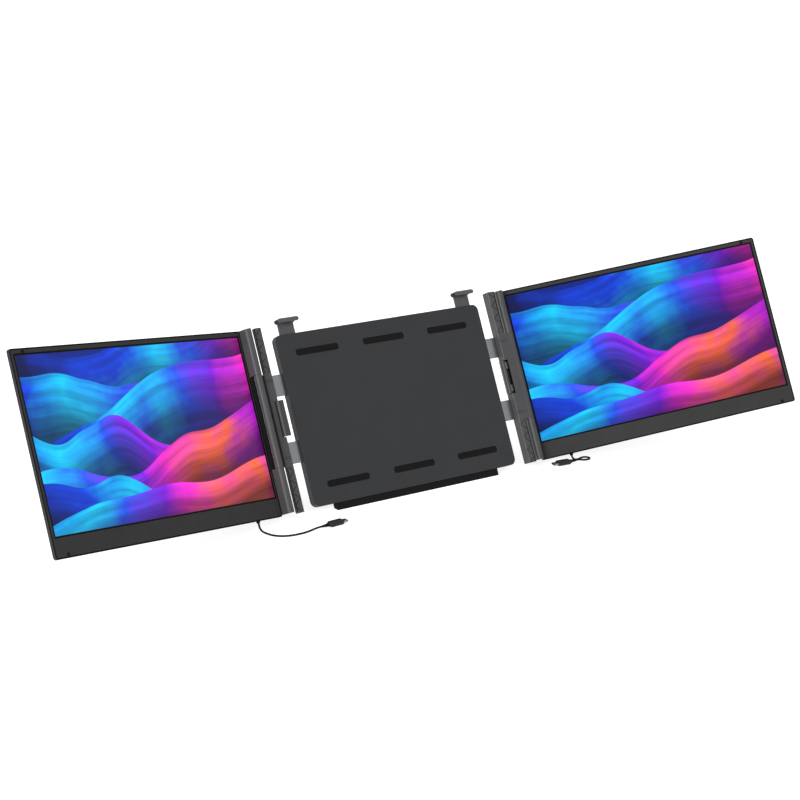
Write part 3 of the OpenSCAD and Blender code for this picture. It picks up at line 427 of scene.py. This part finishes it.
def lit_picture(side):
    material, tree = new_material(f"lit_panel_{side}")
    u, v = picture_place(tree, side)
    flat = put(tree, "ShaderNodeCombineXYZ", {"X": u, "Y": v}).outputs[0]
    # the place in the palette drifts to the right and a little at random
    drift = put(tree, "ShaderNodeTexNoise", {"Vector": flat, "Scale": 2.4, "Detail": 4})
    random_part = put(tree, "ShaderNodeMath", {0: drift.outputs["Fac"], 1: 0.6, 2: -0.16},
                      operation="MULTIPLY_ADD")
    tone = put(tree, "ShaderNodeMath", {0: u, 1: 0.62, 2: random_part.outputs[0]},
               operation="MULTIPLY_ADD").outputs[0]
    picture = colours(put(tree, "ShaderNodeValToRGB", {"Fac": tone}), BACKDROP)
    for number in range(len(SHEETS)):
        cover, sheet = silk_sheet(tree, number, u, v, tone)
        picture = put(tree, "ShaderNodeMix", {0: cover, 6: picture, 7: sheet},
                      data_type="RGBA").outputs[2]
    light = put(tree, "ShaderNodeVectorMath",
                {0: picture, "Scale": lit_area(tree, side, u, v)}, operation="SCALE")
    shader = put(tree, "ShaderNodeBsdfPrincipled",
                 {"Base Color": linear("#050506"), "Roughness": 0.3, "Specular IOR Level": 0.15,
                  "Emission Color": light.outputs[0], "Emission Strength": 1.0})
    put(tree, "ShaderNodeOutputMaterial", {"Surface": shader.outputs[0]})
    return material


pictures = {side: lit_picture(side) for side in SIDES}
print("pictures of", len(SHEETS), "sheets for", " and ".join(pictures))

# %% [markdown]
# ## Dark faces with painted shade
# Some faces of a painted piece are nearly black with painted shade: the rim of a screen's
# frame, and the grooves, the clip's notch and the hinge gap of a column, where no light gets in.
# They get a second material, a near-black one that paints that shade. A frame's rim is a narrow
# ring along the edges of its front face, and its outer walls look as the cover behind them. A
# column's dark faces are found by their places beside the clip's pin and the hinge's pins.

# %% Which faces get painted shade
PLAIN, PAINTED_SHADE, COVER = 0, 1, 2      # a dressed piece's materials
RIM = 1.6 * MM                # width of a frame's dark rim
LEVEL_WITHIN = 0.05 * MM
GROOVE_DEEPEST = 0.6 * MM     # the engraved lines, and the column's outer chamfer
COLUMN_EDGE = 9.5 * MM        # from the hinge's axis to the column's outer corner
PIN_ROOM = 2.6 * MM           # half the width of the clip's notch
AXIS_ROOM = 2.8 * MM          # from the hinge's axis to the gap beside the knuckles
# painted shade: a near-black material that stands in for the shade of rims, grooves and gaps
finish["shaded"] = grained("shaded_black", "#060607", 0.8, 0.7, 0.2, specular=0.1)


def middle(node, direction):
    """The middle of a node's extent along a direction."""
    reach = [place.dot(direction) for place in corners(node)]
    return (min(reach) + max(reach)) / 2


def paint_rim_shade(work, side):
    """Paints shade on a frame's rim, its lip round the glass and its back. Its outer walls look as the cover."""
    facing = panels[side]["facing"]
    level = max(vertex.co.dot(facing) for vertex in work.verts)
    front = [face for face in work.faces if face.normal.dot(facing) > 0.99
             and face.calc_center_median().dot(facing) > level - LEVEL_WITHIN]
    places = corners(f"{side}_bezel")
    centre = sum(places, Vector()) / len(places)
    for face in work.faces:
        outer_wall = (abs(face.normal.dot(facing)) < 0.3
                      and face.normal.dot(face.calc_center_median() - centre) > 0)
        face.material_index = COVER if outer_wall else PAINTED_SHADE
    for face in front:
        face.material_index = PLAIN
    rim = bmesh.ops.inset_region(work, faces=front, thickness=RIM, use_boundary=True,
                                 use_even_offset=True)
    for face in rim["faces"]:
        face.material_index = PAINTED_SHADE


def paint_recess_shade(work, side):
    """Painted shade on a column's grooves, notch, hinge gap and the chamfer beside its knuckles."""
    outward = RIGHTWARD if side == "right" else -RIGHTWARD
    pin = middle(f"{side}_clip_pin", outward)
    axis = middle(f"{side}_hinge_pins", outward)
    axis_front = middle(f"{side}_hinge_pins", bracket_front)
    clip_ups = [place.dot(bracket_up) for place in corners(f"{side}_clip")]
    flat = [face for face in work.faces if face.normal.dot(bracket_front) > 0.99]
    level = max(flat, key=lambda face: face.calc_area()).calc_center_median().dot(bracket_front)
    for face in work.faces:
        centre = face.calc_center_median()
        out, up = centre.dot(outward), centre.dot(bracket_up)
        depth = level - centre.dot(bracket_front)
        tilt = face.normal.dot(bracket_front)
        in_groove = (LEVEL_WITHIN < depth < GROOVE_DEEPEST and out < axis - COLUMN_EDGE
                     and (tilt > 0.9 or abs(tilt) < 0.3))
        in_notch = (abs(out - pin) < PIN_ROOM and depth > GROOVE_DEEPEST
                    and min(clip_ups) - MM < up < max(clip_ups) + MM)
        in_gap = (out > axis + AXIS_ROOM
                  and centre.dot(bracket_front) < axis_front - AXIS_ROOM)
        on_edge = (abs(out - (axis - COLUMN_EDGE)) < 0.2 * MM
                   and abs(depth - GROOVE_DEEPEST) < 0.2 * MM and 0.5 < tilt < 0.9)
        if in_groove or in_notch or in_gap or on_edge:
            face.material_index = PAINTED_SHADE


SHADE_PAINTERS = {"bezel": paint_rim_shade, "column": paint_recess_shade}

# %% [markdown]
# ## Softened edges
# A real edge is never sharp: paint, moulding and tumbling round it by a fraction of a
# millimetre, and that small round catches the light. The solids have sharp edges, so each
# visible piece is made from a copy of its node. The copy's loose triangles are merged, flat
# areas are joined, and a narrow bevel rounds every edge that is steeper than 30 degrees. The
# normals are weighed by area, so that a flat face keeps an even tone up to its bevel.

# %% Softened copies of the rigid nodes
MERGE_WITHIN = 0.002 * MM
FLAT_WITHIN = math.radians(0.5)
BEVEL_OVER = math.radians(30)      # edges steeper than this get a bevel
SHARP_OVER = math.radians(50)      # edges steeper than this stay a crease in the light


def cleaned(node):
    """A copy of a node's mesh, with its triangles joined to flat faces."""
    work = bmesh.new()
    work.from_mesh(frame["nodes"][node].data)
    bmesh.ops.remove_doubles(work, verts=work.verts, dist=MERGE_WITHIN)
    bmesh.ops.dissolve_limit(work, angle_limit=FLAT_WITHIN, verts=work.verts, edges=work.edges)
    return work


def applied(piece):
    """The mesh that an object's modifiers make."""
    scene_now = bpy.context.evaluated_depsgraph_get()
    return bpy.data.meshes.new_from_object(piece.evaluated_get(scene_now))


def finished(draft, name):
    """Applies a draft's modifiers and gives a plain object with smooth shading. Normals are
    weighed by the faces' areas, so a flat face stays flat and its bevels turn the light."""
    mesh = applied(draft)
    bpy.data.objects.remove(draft)
    for face in mesh.polygons:
        face.use_smooth = True
    mesh.set_sharp_from_angle(angle=SHARP_OVER)
    piece = show(name, mesh)
    piece.modifiers.new("weigh", "WEIGHTED_NORMAL").keep_sharp = True
    piece.data = applied(piece)
    piece.modifiers.clear()
    return piece


def softened(node, width_mm):
    """A copy of a node with rounded edges and its dark faces."""
    work = cleaned(node)
    for face in work.faces:
        face.material_index = PLAIN
    mesh = bpy.data.meshes.new(node + "_soft")
    mesh.materials.append(look(node))
    side, _, part = node.partition("_")
    # the dark faces take the painted shade as their second material, a frame's outer walls the cover's
    if part in SHADE_PAINTERS:
        SHADE_PAINTERS[part](work, side)
        mesh.materials.append(finish["shaded"])
        mesh.materials.append(finish["cover_plastic"])
    work.to_mesh(mesh)
    work.free()
    draft = show(node + "_draft", mesh)
    bevel = draft.modifiers.new("bevel", "BEVEL")
    bevel.width = width_mm * MM
    bevel.segments = 2
    bevel.limit_method = "ANGLE"
    bevel.angle_limit = BEVEL_OVER
    return finished(draft, node + "_piece")


def dress(piece, node, *more):
    """A piece stands for one or more nodes: it rides with them, and they are hidden."""
    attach(piece, body_of[node])
    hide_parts(node, *more)


BEVELS_MM = {
    "front_plate": 0.5, "back_cover": 0.5, "desk_foot": 0.4, "kickstand": 0.3,
    "kickstand_foot": 0.15,
}
SIDE_BEVELS_MM = {
    "arm_plate": 0.2, "column": 0.12, "clip": 0.25, "clip_pad": 0.1, "hook": 0.3, "hook_pad": 0.15,
    "bezel": 0.25, "rear_cover": 0.5, "top_knuckle": 0.3, "bottom_knuckle": 0.3,
    "cable_gland": 0.15, "bumpers": 0.12, "power_button": 0.2, "menu_button": 0.2,
}
BEVELS_MM.update({f"{side}_{part}": width for side in SIDES
                  for part, width in SIDE_BEVELS_MM.items()})
for node, width in BEVELS_MM.items():
    dress(softened(node, width), node)
print(len(BEVELS_MM), "softened pieces")

# %% [markdown]
# ## Screws with cross recesses
# The solids mark every screw with a plain countersunk pin. A real one has a low chamfered
# head with a cross recess that takes a driver. One screw is modelled, and Geometry Nodes set
# it on a cloud of points, one for each pin of the node. The tree ends in Realize Instances
# and Set Material, so the result is one plain mesh.

# %% One screw
HEAD_SIDES = 24
# head radius, head height and shank radius
CASE_SCREW = (2.4 * MM, 1.2 * MM, 1.25 * MM)
SCREEN_SCREW = (1.6 * MM, 0.6 * MM, 1.0 * MM)


def ring(bm, radius, height):
    turns = [2 * math.pi * k / HEAD_SIDES for k in range(HEAD_SIDES)]
    return [bm.verts.new((radius * math.cos(t), radius * math.sin(t), height)) for t in turns]


def bridge(bm, lower, upper):
    """Joins two closed loops of vertices with four-sided faces."""
    for k in range(len(lower)):
        after = (k + 1) % len(lower)
        bm.faces.new((lower[k], lower[after], upper[after], upper[k]))


def cross_loop(bm, arm, half, height):
    """The twelve corners of a plus sign, anticlockwise."""
    quarter = [(arm, -half), (arm, half), (half, half)]
    spots = []
    for turn in range(4):
        c, s = round(math.cos(turn * math.pi / 2)), round(math.sin(turn * math.pi / 2))
        spots += [(x * c - y * s, x * s + y * c) for x, y in quarter]
    return [bm.verts.new((x, y, height)) for x, y in spots]


def screw_mesh(name, head_r, head_h, shank_r, length):
    """A countersunk screw whose head faces +Z at z = 0 and whose shank points down."""
    bm = bmesh.new()
    rim_in = ring(bm, head_r * 0.92, 0)
    rim_out = ring(bm, head_r, -0.08 * head_h)
    neck = ring(bm, shank_r, -head_h)
    tip = ring(bm, shank_r, -length)
    for lower, upper in ((rim_out, rim_in), (neck, rim_out), (tip, neck)):
        bridge(bm, lower, upper)
    bm.faces.new(list(reversed(tip)))
    mouth = cross_loop(bm, head_r * 0.58, head_r * 0.14, 0)
    floor = cross_loop(bm, head_r * 0.4, head_r * 0.1, -head_h * 0.75)
    bridge(bm, floor, mouth)
    for face in list(bm.faces)[-len(mouth):]:
        face.normal_flip()
    bm.faces.new(floor)
    edges = [bm.edges.get((loop[k], loop[(k + 1) % len(loop)]))
             for loop in (rim_in, mouth) for k in range(len(loop))]
    bmesh.ops.triangle_fill(bm, use_beauty=True, edges=edges)
    bmesh.ops.recalc_face_normals(bm, faces=bm.faces)
    mesh = bpy.data.meshes.new(name)
    bm.to_mesh(mesh)
    bm.free()
    return mesh


# %% The tree that sets screws on points
def geometry_tree(name, sockets):
    """A node tree with a geometry in and out, and named inputs between them."""
    tree = bpy.data.node_groups.new(name, "GeometryNodeTree")
    tree.interface.new_socket("Points", in_out="INPUT", socket_type="NodeSocketGeometry")
    for label, kind in sockets.items():
        tree.interface.new_socket(label, in_out="INPUT", socket_type=kind)
    tree.interface.new_socket("Result", in_out="OUTPUT", socket_type="NodeSocketGeometry")
    return tree, put(tree, "NodeGroupInput").outputs


def end_tree(tree, instances, material_socket):
    """Turns the instances to plain geometry with a material, and gives it out."""
    real = put(tree, "GeometryNodeRealizeInstances", {0: instances})
    painted = put(tree, "GeometryNodeSetMaterial", {0: real.outputs[0], 2: material_socket})
    put(tree, "NodeGroupOutput", {0: painted.outputs[0]})


def run_tree(tree, name, host_mesh, **values):
    """Runs a tree on a host mesh and gives the result as a plain object."""
    host = show(name + "_host", host_mesh)
    modifier = host.modifiers.new("tree", "NODES")
    modifier.node_group = tree
    for item in tree.interface.items_tree:
        if item.in_out == "INPUT" and item.name.replace(" ", "_") in values:
            modifier[item.identifier] = values[item.name.replace(" ", "_")]
    return finished(host, name)


screw_tree, feed = geometry_tree("screws_on_points", {
    "Screw": "NodeSocketObject", "Aim": "NodeSocketVector", "Finish": "NodeSocketMaterial"})
one_screw = put(screw_tree, "GeometryNodeObjectInfo", {"Object": feed["Screw"]})
turned = put(screw_tree, "FunctionNodeAlignRotationToVector", {"Vector": feed["Aim"]}, axis="Z")
spread = put(screw_tree, "GeometryNodeInstanceOnPoints",
             {"Points": feed["Points"], "Instance": one_screw.outputs["Geometry"],
              "Rotation": turned.outputs[0]})
end_tree(screw_tree, spread.outputs[0], feed["Finish"])

# %% [markdown]
# The screws' places come from the solids. A node's triangles fall into islands, one for each
# pin, and the end of an island that lies furthest along the screws' aim is its head.

# %% Set the screws
def islands(node):
    """Groups of vertex places that share triangles, one group for each separate solid."""
    mesh = frame["nodes"][node].data
    # vertices at one place, to a hundredth of a millimetre, count as one
    key = [tuple(round(value * 1e5) for value in vertex.co) for vertex in mesh.vertices]
    root = {k: k for k in key}

    def find(k):
        while root[k] != k:
            root[k] = root[root[k]]
            k = root[k]
        return k

    for face in mesh.polygons:
        first, *others = [key[i] for i in face.vertices]
        for other in others:
            root[find(other)] = find(first)
    groups = {}
    for k, vertex in zip(key, mesh.vertices):
        groups.setdefault(find(k), []).append(vertex.co.copy())
    return list(groups.values())


def head_place(group, aim):
    """The middle of a pin's end along aim, and the pin's length."""
    reach = [place.dot(aim) for place in group]
    low = Vector([min(place[i] for place in group) for i in range(3)])
    high = Vector([max(place[i] for place in group) for i in range(3)])
    centre = (low + high) / 2
    # from the middle of the pin's box along its aim to its end
    end = centre + aim * (max(reach) - centre.dot(aim))
    return end, max(reach) - min(reach)


def cloud(name, places):
    """A mesh of bare points."""
    mesh = bpy.data.meshes.new(name)
    mesh.from_pydata(places, [], [])
    return mesh


def set_screws(node, aim, screw):
    """Sets a screw on each pin of a node and returns their number."""
    found = [head_place(group, aim) for group in islands(node)]
    heads = [head for head, _ in found]
    length = min(reach for _, reach in found)
    pattern = show(node + "_pattern", screw_mesh(node + "_pattern", *screw, length))
    piece = run_tree(screw_tree, node + "_piece", cloud(node + "_points", heads),
                     Screw=pattern, Aim=aim, Finish=finish["socket_steel"])
    bpy.data.objects.remove(pattern)
    dress(piece, node)
    return len(found)


count = set_screws("housing_screws", -bracket_front, CASE_SCREW)
for side in SIDES:
    count += set_screws(f"{side}_column_screws", -bracket_front, CASE_SCREW)
    count += set_screws(f"{side}_screen_screws", -panels[side]["facing"], SCREEN_SCREW)
print(count, "screws")

# %% [markdown]
# ## Ribbed rest pads
# The lid leans on six rubber pads. Such pads are moulded with low ribs, so that they grip and
# let air through. A rib is a short half-round bar, and a tree repeats it over each pad.

# %% Ribbed rest pads
RIB_PITCH = 1.6 * MM
RIB_WIDTH = RIB_PITCH * 0.62
RIB_SHORTER = 1.4 * MM             # than the pad
RIB_SEAT, RIB_RISE = 0.45, 0.55    # where a rib begins and how far it stands out, of the pad
BASE_SHARE = 0.5                   # of a pad's thickness is left below its ribs


def bar_mesh(name, length, width, height, sides=6):
    """A half-round bar along X with its flat side on z = 0."""
    bm = bmesh.new()
    ends = []
    for x in (-length / 2, length / 2):
        arc = [(math.cos(math.pi * k / sides), math.sin(math.pi * k / sides))
               for k in range(sides + 1)]
        ends.append([bm.verts.new((x, width / 2 * c, height * s)) for c, s in arc])
    for k in range(sides):
        bm.faces.new((ends[0][k], ends[0][k + 1], ends[1][k + 1], ends[1][k]))
    bm.faces.new((ends[0][-1], ends[0][0], ends[1][0], ends[1][-1]))
    bm.faces.new(list(reversed(ends[0])))
    bm.faces.new(ends[1])
    bmesh.ops.recalc_face_normals(bm, faces=bm.faces)
    mesh = bpy.data.meshes.new(name)
    bm.to_mesh(mesh)
    bm.free()
    return mesh


rib_tree, feed = geometry_tree("ribs_on_pads", {
    "Rib": "NodeSocketObject", "Ribs": "NodeSocketInt", "Step": "NodeSocketVector",
    "Turn": "NodeSocketRotation", "Finish": "NodeSocketMaterial"})
one_rib = put(rib_tree, "GeometryNodeObjectInfo", {"Object": feed["Rib"]})
row = put(rib_tree, "GeometryNodeMeshLine", {"Count": feed["Ribs"], "Offset": feed["Step"]},
          mode="OFFSET")
bars = put(rib_tree, "GeometryNodeInstanceOnPoints",
           {"Points": row.outputs[0], "Instance": one_rib.outputs["Geometry"],
            "Rotation": feed["Turn"]})
rows = put(rib_tree, "GeometryNodeInstanceOnPoints",
           {"Points": feed["Points"], "Instance": bars.outputs[0]})
end_tree(rib_tree, rows.outputs[0], feed["Finish"])


def ribbed_pads():
    """The ribs of all pads as one piece, and a pad's size."""
    places = []
    for group in islands("lid_rest_pads"):
        xs = [place.x for place in group]
        ups = [place.dot(bracket_up) for place in group]
        outs = [place.dot(bracket_front) for place in group]
        # all pads are alike, so the last one's size serves for the ribs
        pad_size = (max(xs) - min(xs), max(ups) - min(ups), max(outs) - min(outs))
        start = Vector((min(xs) + RIB_PITCH, 0, 0))
        start += bracket_up * ((min(ups) + max(ups)) / 2)
        start += bracket_front * (min(outs) + pad_size[2] * RIB_SEAT)
        places.append(start)
    rib = show("rib", bar_mesh("rib", pad_size[1] - RIB_SHORTER, RIB_WIDTH,
                               pad_size[2] * RIB_RISE))
    turn = Matrix((bracket_up, -RIGHTWARD, bracket_front)).transposed().to_euler()
    ribs = run_tree(rib_tree, "lid_rest_ribs", cloud("pads", places), Rib=rib,
                    Ribs=int(pad_size[0] / RIB_PITCH) - 1, Step=Vector((RIB_PITCH, 0, 0)),
                    Turn=turn, Finish=finish["rubber"])
    bpy.data.objects.remove(rib)
    return ribs, pad_size


ribs, pad_size = ribbed_pads()


def sunk_pads(share):
    """The pads' own blocks, pressed thinner so that the ribs stand on them."""
    work = cleaned("lid_rest_pads")
    low = min(vertex.co.dot(bracket_front) for vertex in work.verts)
    for vertex in work.verts:
        rise = vertex.co.dot(bracket_front) - low
        vertex.co -= bracket_front * rise * (1 - share)
    mesh = bpy.data.meshes.new("lid_rest_base")
    work.to_mesh(mesh)
    work.free()
    mesh.materials.append(finish["rubber"])
    return finished(show("lid_rest_draft", mesh), "lid_rest_base")


base = sunk_pads(BASE_SHARE)
for piece in (base, ribs):
    dress(piece, "lid_rest_pads")
print("pads", [round(size / MM, 1) for size in pad_size], "mm")

# %% [markdown]
# ## Plugs
# The cords end in flat plugs. A plug is a moulded grip with rounded sides, a stepped collar
# and a rolled metal shell, hollow, with a thin tongue inside. Each part is a loft: rings of
# points along the plug's axis, joined and capped.

# %% Lofted pieces
LOFT_SHARP_OVER = math.radians(32)


def rounded_ring(width, height, radius, x, sides=6):
    """Points round a rectangle with round corners, in the plane across X."""
    radius = min(radius, width / 2 - 1e-6, height / 2 - 1e-6)
    spots = []
    for corner, (sy, sz) in enumerate(((1, 1), (-1, 1), (-1, -1), (1, -1))):
        for k in range(sides + 1):
            turn = (corner + k / sides) * math.pi / 2
            spots.append(Vector((x, sy * (width / 2 - radius) + radius * math.cos(turn),
                                 sz * (height / 2 - radius) + radius * math.sin(turn))))
    return spots


def loft(name, rings, place, material):
    """Joins rings of points to a closed shell and carries it to its place."""
    bm = bmesh.new()
    loops = [[bm.verts.new(place @ spot) for spot in spots] for spots in rings]
    for lower, upper in zip(loops, loops[1:]):
        bridge(bm, lower, upper)
    bm.faces.new(list(reversed(loops[0])))
    bm.faces.new(loops[-1])
    bmesh.ops.recalc_face_normals(bm, faces=bm.faces)
    mesh = bpy.data.meshes.new(name)
    bm.to_mesh(mesh)
    bm.free()
    mesh.materials.append(material)
    for face in mesh.polygons:
        face.use_smooth = True
    mesh.set_sharp_from_angle(angle=LOFT_SHARP_OVER)
    return show(name, mesh)


def plug_place(route):
    """A frame at the cord's end with X along the plug and Z up."""
    end, before = Vector(route[-1]), Vector(route[-2])
    along = (end - before).normalized()
    sideways = Vector((0, 0, 1)).cross(along).normalized()
    up = along.cross(sideways)
    turn = Matrix((along, sideways, up)).transposed().to_4x4()
    return Matrix.Translation(end) @ turn


RELIEF_LEN, GRIP_LEN, TIP_LEN = 9 * MM, 20 * MM, 6.5 * MM
GRIP_W, GRIP_H, GRIP_R = 10.5 * MM, 6 * MM, 2.4 * MM
TIP_W, TIP_H, TIP_WALL = 8.2 * MM, 2.5 * MM, 0.3 * MM
TONGUE_W, TONGUE_H = 6.6 * MM, 0.7 * MM
# places along the grip, and the share of its full section there
GRIP_STEPS = [(0, 0.6), (0.02, 0.72), (0.06, 0.8), (0.1, 0.82), (0.12, 0.96), (0.16, 1),
              (0.9, 1), (0.96, 0.97), (0.99, 0.92), (1, 0.85)]


def grip(side, place):
    rings = [rounded_ring(GRIP_W * share, GRIP_H * share, GRIP_R * share,
                          RELIEF_LEN + GRIP_LEN * along) for along, share in GRIP_STEPS]
    return loft(f"{side}_plug_grip", rings, place, finish["plug_plastic"])


def shell(side, place):
    start, end = RELIEF_LEN + GRIP_LEN * 0.98, RELIEF_LEN + GRIP_LEN + TIP_LEN
    outer = [rounded_ring(TIP_W, TIP_H, TIP_H * 0.48, x) for x in (start, end - 0.15 * MM)]
    lip = [rounded_ring(TIP_W - 0.3 * MM, TIP_H - 0.3 * MM, TIP_H * 0.45, end)]
    inner = [rounded_ring(TIP_W - 2 * TIP_WALL, TIP_H - 2 * TIP_WALL, TIP_H * 0.4, x)
             for x in (end - 0.1 * MM, end - TIP_LEN * 0.85)]
    return loft(f"{side}_plug_shell", outer + lip + inner, place, finish["steel"])


def tongue(side, place):
    start = RELIEF_LEN + GRIP_LEN + TIP_LEN * 0.1
    end = RELIEF_LEN + GRIP_LEN + TIP_LEN * 0.8
    rings = [rounded_ring(TONGUE_W, TONGUE_H, 0.2 * MM, x) for x in (start, end)]
    return loft(f"{side}_plug_tongue", rings, place, finish["plug_plastic"])


# %% [markdown]
# Where the cord meets the grip, a ribbed sleeve keeps it from kinking. Its core is a cone, and
# a tree repeats one soft ring along it, each a little larger than the last.

# %% The ribbed strain relief
RELIEF_RINGS = 6
RELIEF_WALLS = (0.15 * MM, 0.75 * MM)      # round the cord, at the sleeve's start and end
RING_MARGIN = 1.0 * MM                     # from the sleeve's ends to its outer rings
RING_THICKNESS = 0.3 * MM

ring_tree, feed = geometry_tree("rings_on_a_sleeve", {
    "Rings": "NodeSocketInt", "Start": "NodeSocketVector", "End": "NodeSocketVector",
    "First radius": "NodeSocketFloat", "Last radius": "NodeSocketFloat",
    "Thickness": "NodeSocketFloat", "Finish": "NodeSocketMaterial"})
beads = put(ring_tree, "GeometryNodeMeshLine",
            {"Count": feed["Rings"], "Start Location": feed["Start"], "Offset": feed["End"]},
            mode="END_POINTS")
bead_path = put(ring_tree, "GeometryNodeCurvePrimitiveCircle", {"Resolution": 20, "Radius": 1.0})
bead_index = put(ring_tree, "GeometryNodeInputIndex")
last_index = put(ring_tree, "ShaderNodeMath", {0: feed["Rings"], 1: 1.0}, operation="SUBTRACT")
bead_radius = put(ring_tree, "ShaderNodeMapRange",
                  {"Value": bead_index.outputs[0], "From Max": last_index.outputs[0],
                   "To Min": feed["First radius"], "To Max": feed["Last radius"]})
along_sleeve = put(ring_tree, "ShaderNodeVectorMath", {0: feed["End"], 1: feed["Start"]},
                   operation="SUBTRACT")
bead_turn = put(ring_tree, "FunctionNodeAlignRotationToVector",
                {"Vector": along_sleeve.outputs[0]}, axis="Z")
bead_curves = put(ring_tree, "GeometryNodeInstanceOnPoints",
                  {"Points": beads.outputs[0], "Instance": bead_path.outputs[0],
                   "Rotation": bead_turn.outputs[0], "Scale": bead_radius.outputs[0]})
bead_real = put(ring_tree, "GeometryNodeRealizeInstances", {0: bead_curves.outputs[0]})
bead_section = put(ring_tree, "GeometryNodeCurvePrimitiveCircle",
                   {"Resolution": 8, "Radius": feed["Thickness"]})
bead_mesh = put(ring_tree, "GeometryNodeCurveToMesh",
                {"Curve": bead_real.outputs[0], "Profile Curve": bead_section.outputs[0]})
end_tree(ring_tree, bead_mesh.outputs[0], feed["Finish"])


def relief(side, place):
    """The sleeve's cone and its rings."""
    r0, r1 = (CORD_D / 2 + wall for wall in RELIEF_WALLS)
    rings = []
    for along, share in [(0, 0.9), (0.04, 1), (1, 1)]:
        width = 2 * share * (r0 + (r1 - r0) * along)
        rings.append(rounded_ring(width, width, width, RELIEF_LEN * along))
    core = loft(f"{side}_relief_core", rings, place, finish["rubber"])
    beads = run_tree(
        ring_tree, f"{side}_relief_rings", cloud(f"{side}_relief_points", [(0, 0, 0)]),
        Rings=RELIEF_RINGS, Start=place @ Vector((RING_MARGIN, 0, 0)),
        End=place @ Vector((RELIEF_LEN - RING_MARGIN, 0, 0)), First_radius=r0 - 0.02 * MM,
        Last_radius=r1 - 0.05 * MM, Thickness=RING_THICKNESS, Finish=finish["rubber"])
    return core, beads


for side in SIDES:
    place = plug_place(CORD_ROUTES[side])
    core, beads = relief(side, place)
    plug = [grip(side, place), shell(side, place), tongue(side, place)]
    for piece in (core, beads):
        dress(piece, f"{side}_plug_relief")
    for piece in plug:
        dress(piece, f"{side}_cable_plug")
    cords[side].data.materials.append(finish["rubber"])
    dress(cords[side], f"{side}_cable")
print("plugs, sleeves and cords on both sides")

# %% [markdown]
# ## Finishes for the nodes that stay
# Everything else keeps its solid: the glass, the parts behind it, pins, sleeves and studs.
# Each gets its finish on its own material slots.

# %% Finishes for the nodes that stay
def repaint(node, material):
    """Gives a node's own mesh one material."""
    data = frame["nodes"][node].data
    data.materials.clear()
    data.materials.append(material)


replaced = set(BEVELS_MM) | {"lid_rest_pads", "housing_screws"}
for side in SIDES:
    repaint(f"{side}_display_panel", pictures[side])
    replaced |= {f"{side}_{part}" for part in (
        "display_panel", "column_screws", "screen_screws", "cable", "plug_relief", "cable_plug")}
kept = [node for node in frame["nodes"] if node not in replaced]
for node in kept:
    repaint(node, look(node))
print(len(kept), "nodes keep their solids")

# %% [markdown]
# ## Floor, light and background
# The photograph's background is plain white. The floor is a pale diffuse sheet that adds
# white of its own for the camera, so it reads as white and still keeps a soft shadow. Large
# soft lamps light the object evenly, and the world fills the rest.

# %% The floor
FLOOR_HALF = 12.0
FLOOR_OWN_WHITE = 0.72


def white_for_the_camera(tree):
    """1 for camera, glossy and transmission rays."""
    path = put(tree, "ShaderNodeLightPath")
    seen = path.outputs["Is Camera Ray"]
    for other in ("Is Glossy Ray", "Is Transmission Ray"):
        seen = put(tree, "ShaderNodeMath", {0: seen, 1: path.outputs[other]},
                   operation="MAXIMUM").outputs[0]
    return seen


def floor_material():
    material, tree = new_material("white_paper_floor")
    diffuse = put(tree, "ShaderNodeBsdfDiffuse", {"Color": linear("#e9e9e9")})
    own = put(tree, "ShaderNodeMath", {0: white_for_the_camera(tree), 1: FLOOR_OWN_WHITE},
              operation="MULTIPLY")
    glow = put(tree, "ShaderNodeEmission", {"Color": (1, 1, 1, 1), "Strength": own.outputs[0]})
    both = put(tree, "ShaderNodeAddShader", {0: diffuse.outputs[0], 1: glow.outputs[0]})
    put(tree, "ShaderNodeOutputMaterial", {"Surface": both.outputs[0]})
    return material


floor_mesh = bpy.data.meshes.new("floor")
floor_mesh.from_pydata([(x * FLOOR_HALF, y * FLOOR_HALF, 0)
                        for x, y in ((-1, -1), (1, -1), (1, 1), (-1, 1))], [], [(0, 1, 2, 3)])
floor_mesh.materials.append(floor_material())
floor = show("floor", floor_mesh)

# %% The world and the lamps
AMBIENT = 0.33
world = bpy.data.worlds.new("studio")
bpy.context.scene.world = world
world.use_nodes = True
world.node_tree.nodes.clear()
seen = white_for_the_camera(world.node_tree)
strength = put(world.node_tree, "ShaderNodeMapRange",
               {"Value": seen, "To Min": AMBIENT, "To Max": 1.0})
sky = put(world.node_tree, "ShaderNodeBackground",
          {"Color": (1, 1, 1, 1), "Strength": strength.outputs[0]})
put(world.node_tree, "ShaderNodeOutputWorld", {"Surface": sky.outputs[0]})


def softbox(name, place, aim, size, power):
    """A square lamp at a place, turned to its aim."""
    lamp = bpy.data.lights.new(name, "AREA")
    lamp.shape = "SQUARE"
    lamp.size = size
    lamp.energy = power
    holder = bpy.data.objects.new(name, lamp)
    holder.location = place
    holder.rotation_euler = (Vector(aim) - Vector(place)).to_track_quat("-Z", "Y").to_euler()
    bpy.context.scene.collection.objects.link(holder)


softbox("key", (-6.0, -2.7, 2.6), (0, 0, 0.1), 3.5, 330)
softbox("fill", (2.2, -1.6, 1.4), (0, 0, 0.1), 1.8, 2)
softbox("top", (0, 0.4, 2.6), (0, 0, 0.1), 2.0, 20)
print("lamps: key, fill and top")

# %% [markdown]
# ## Done
# The view stays the standard one.

# %% Finish
bpy.context.scene.view_settings.view_transform = "Standard"
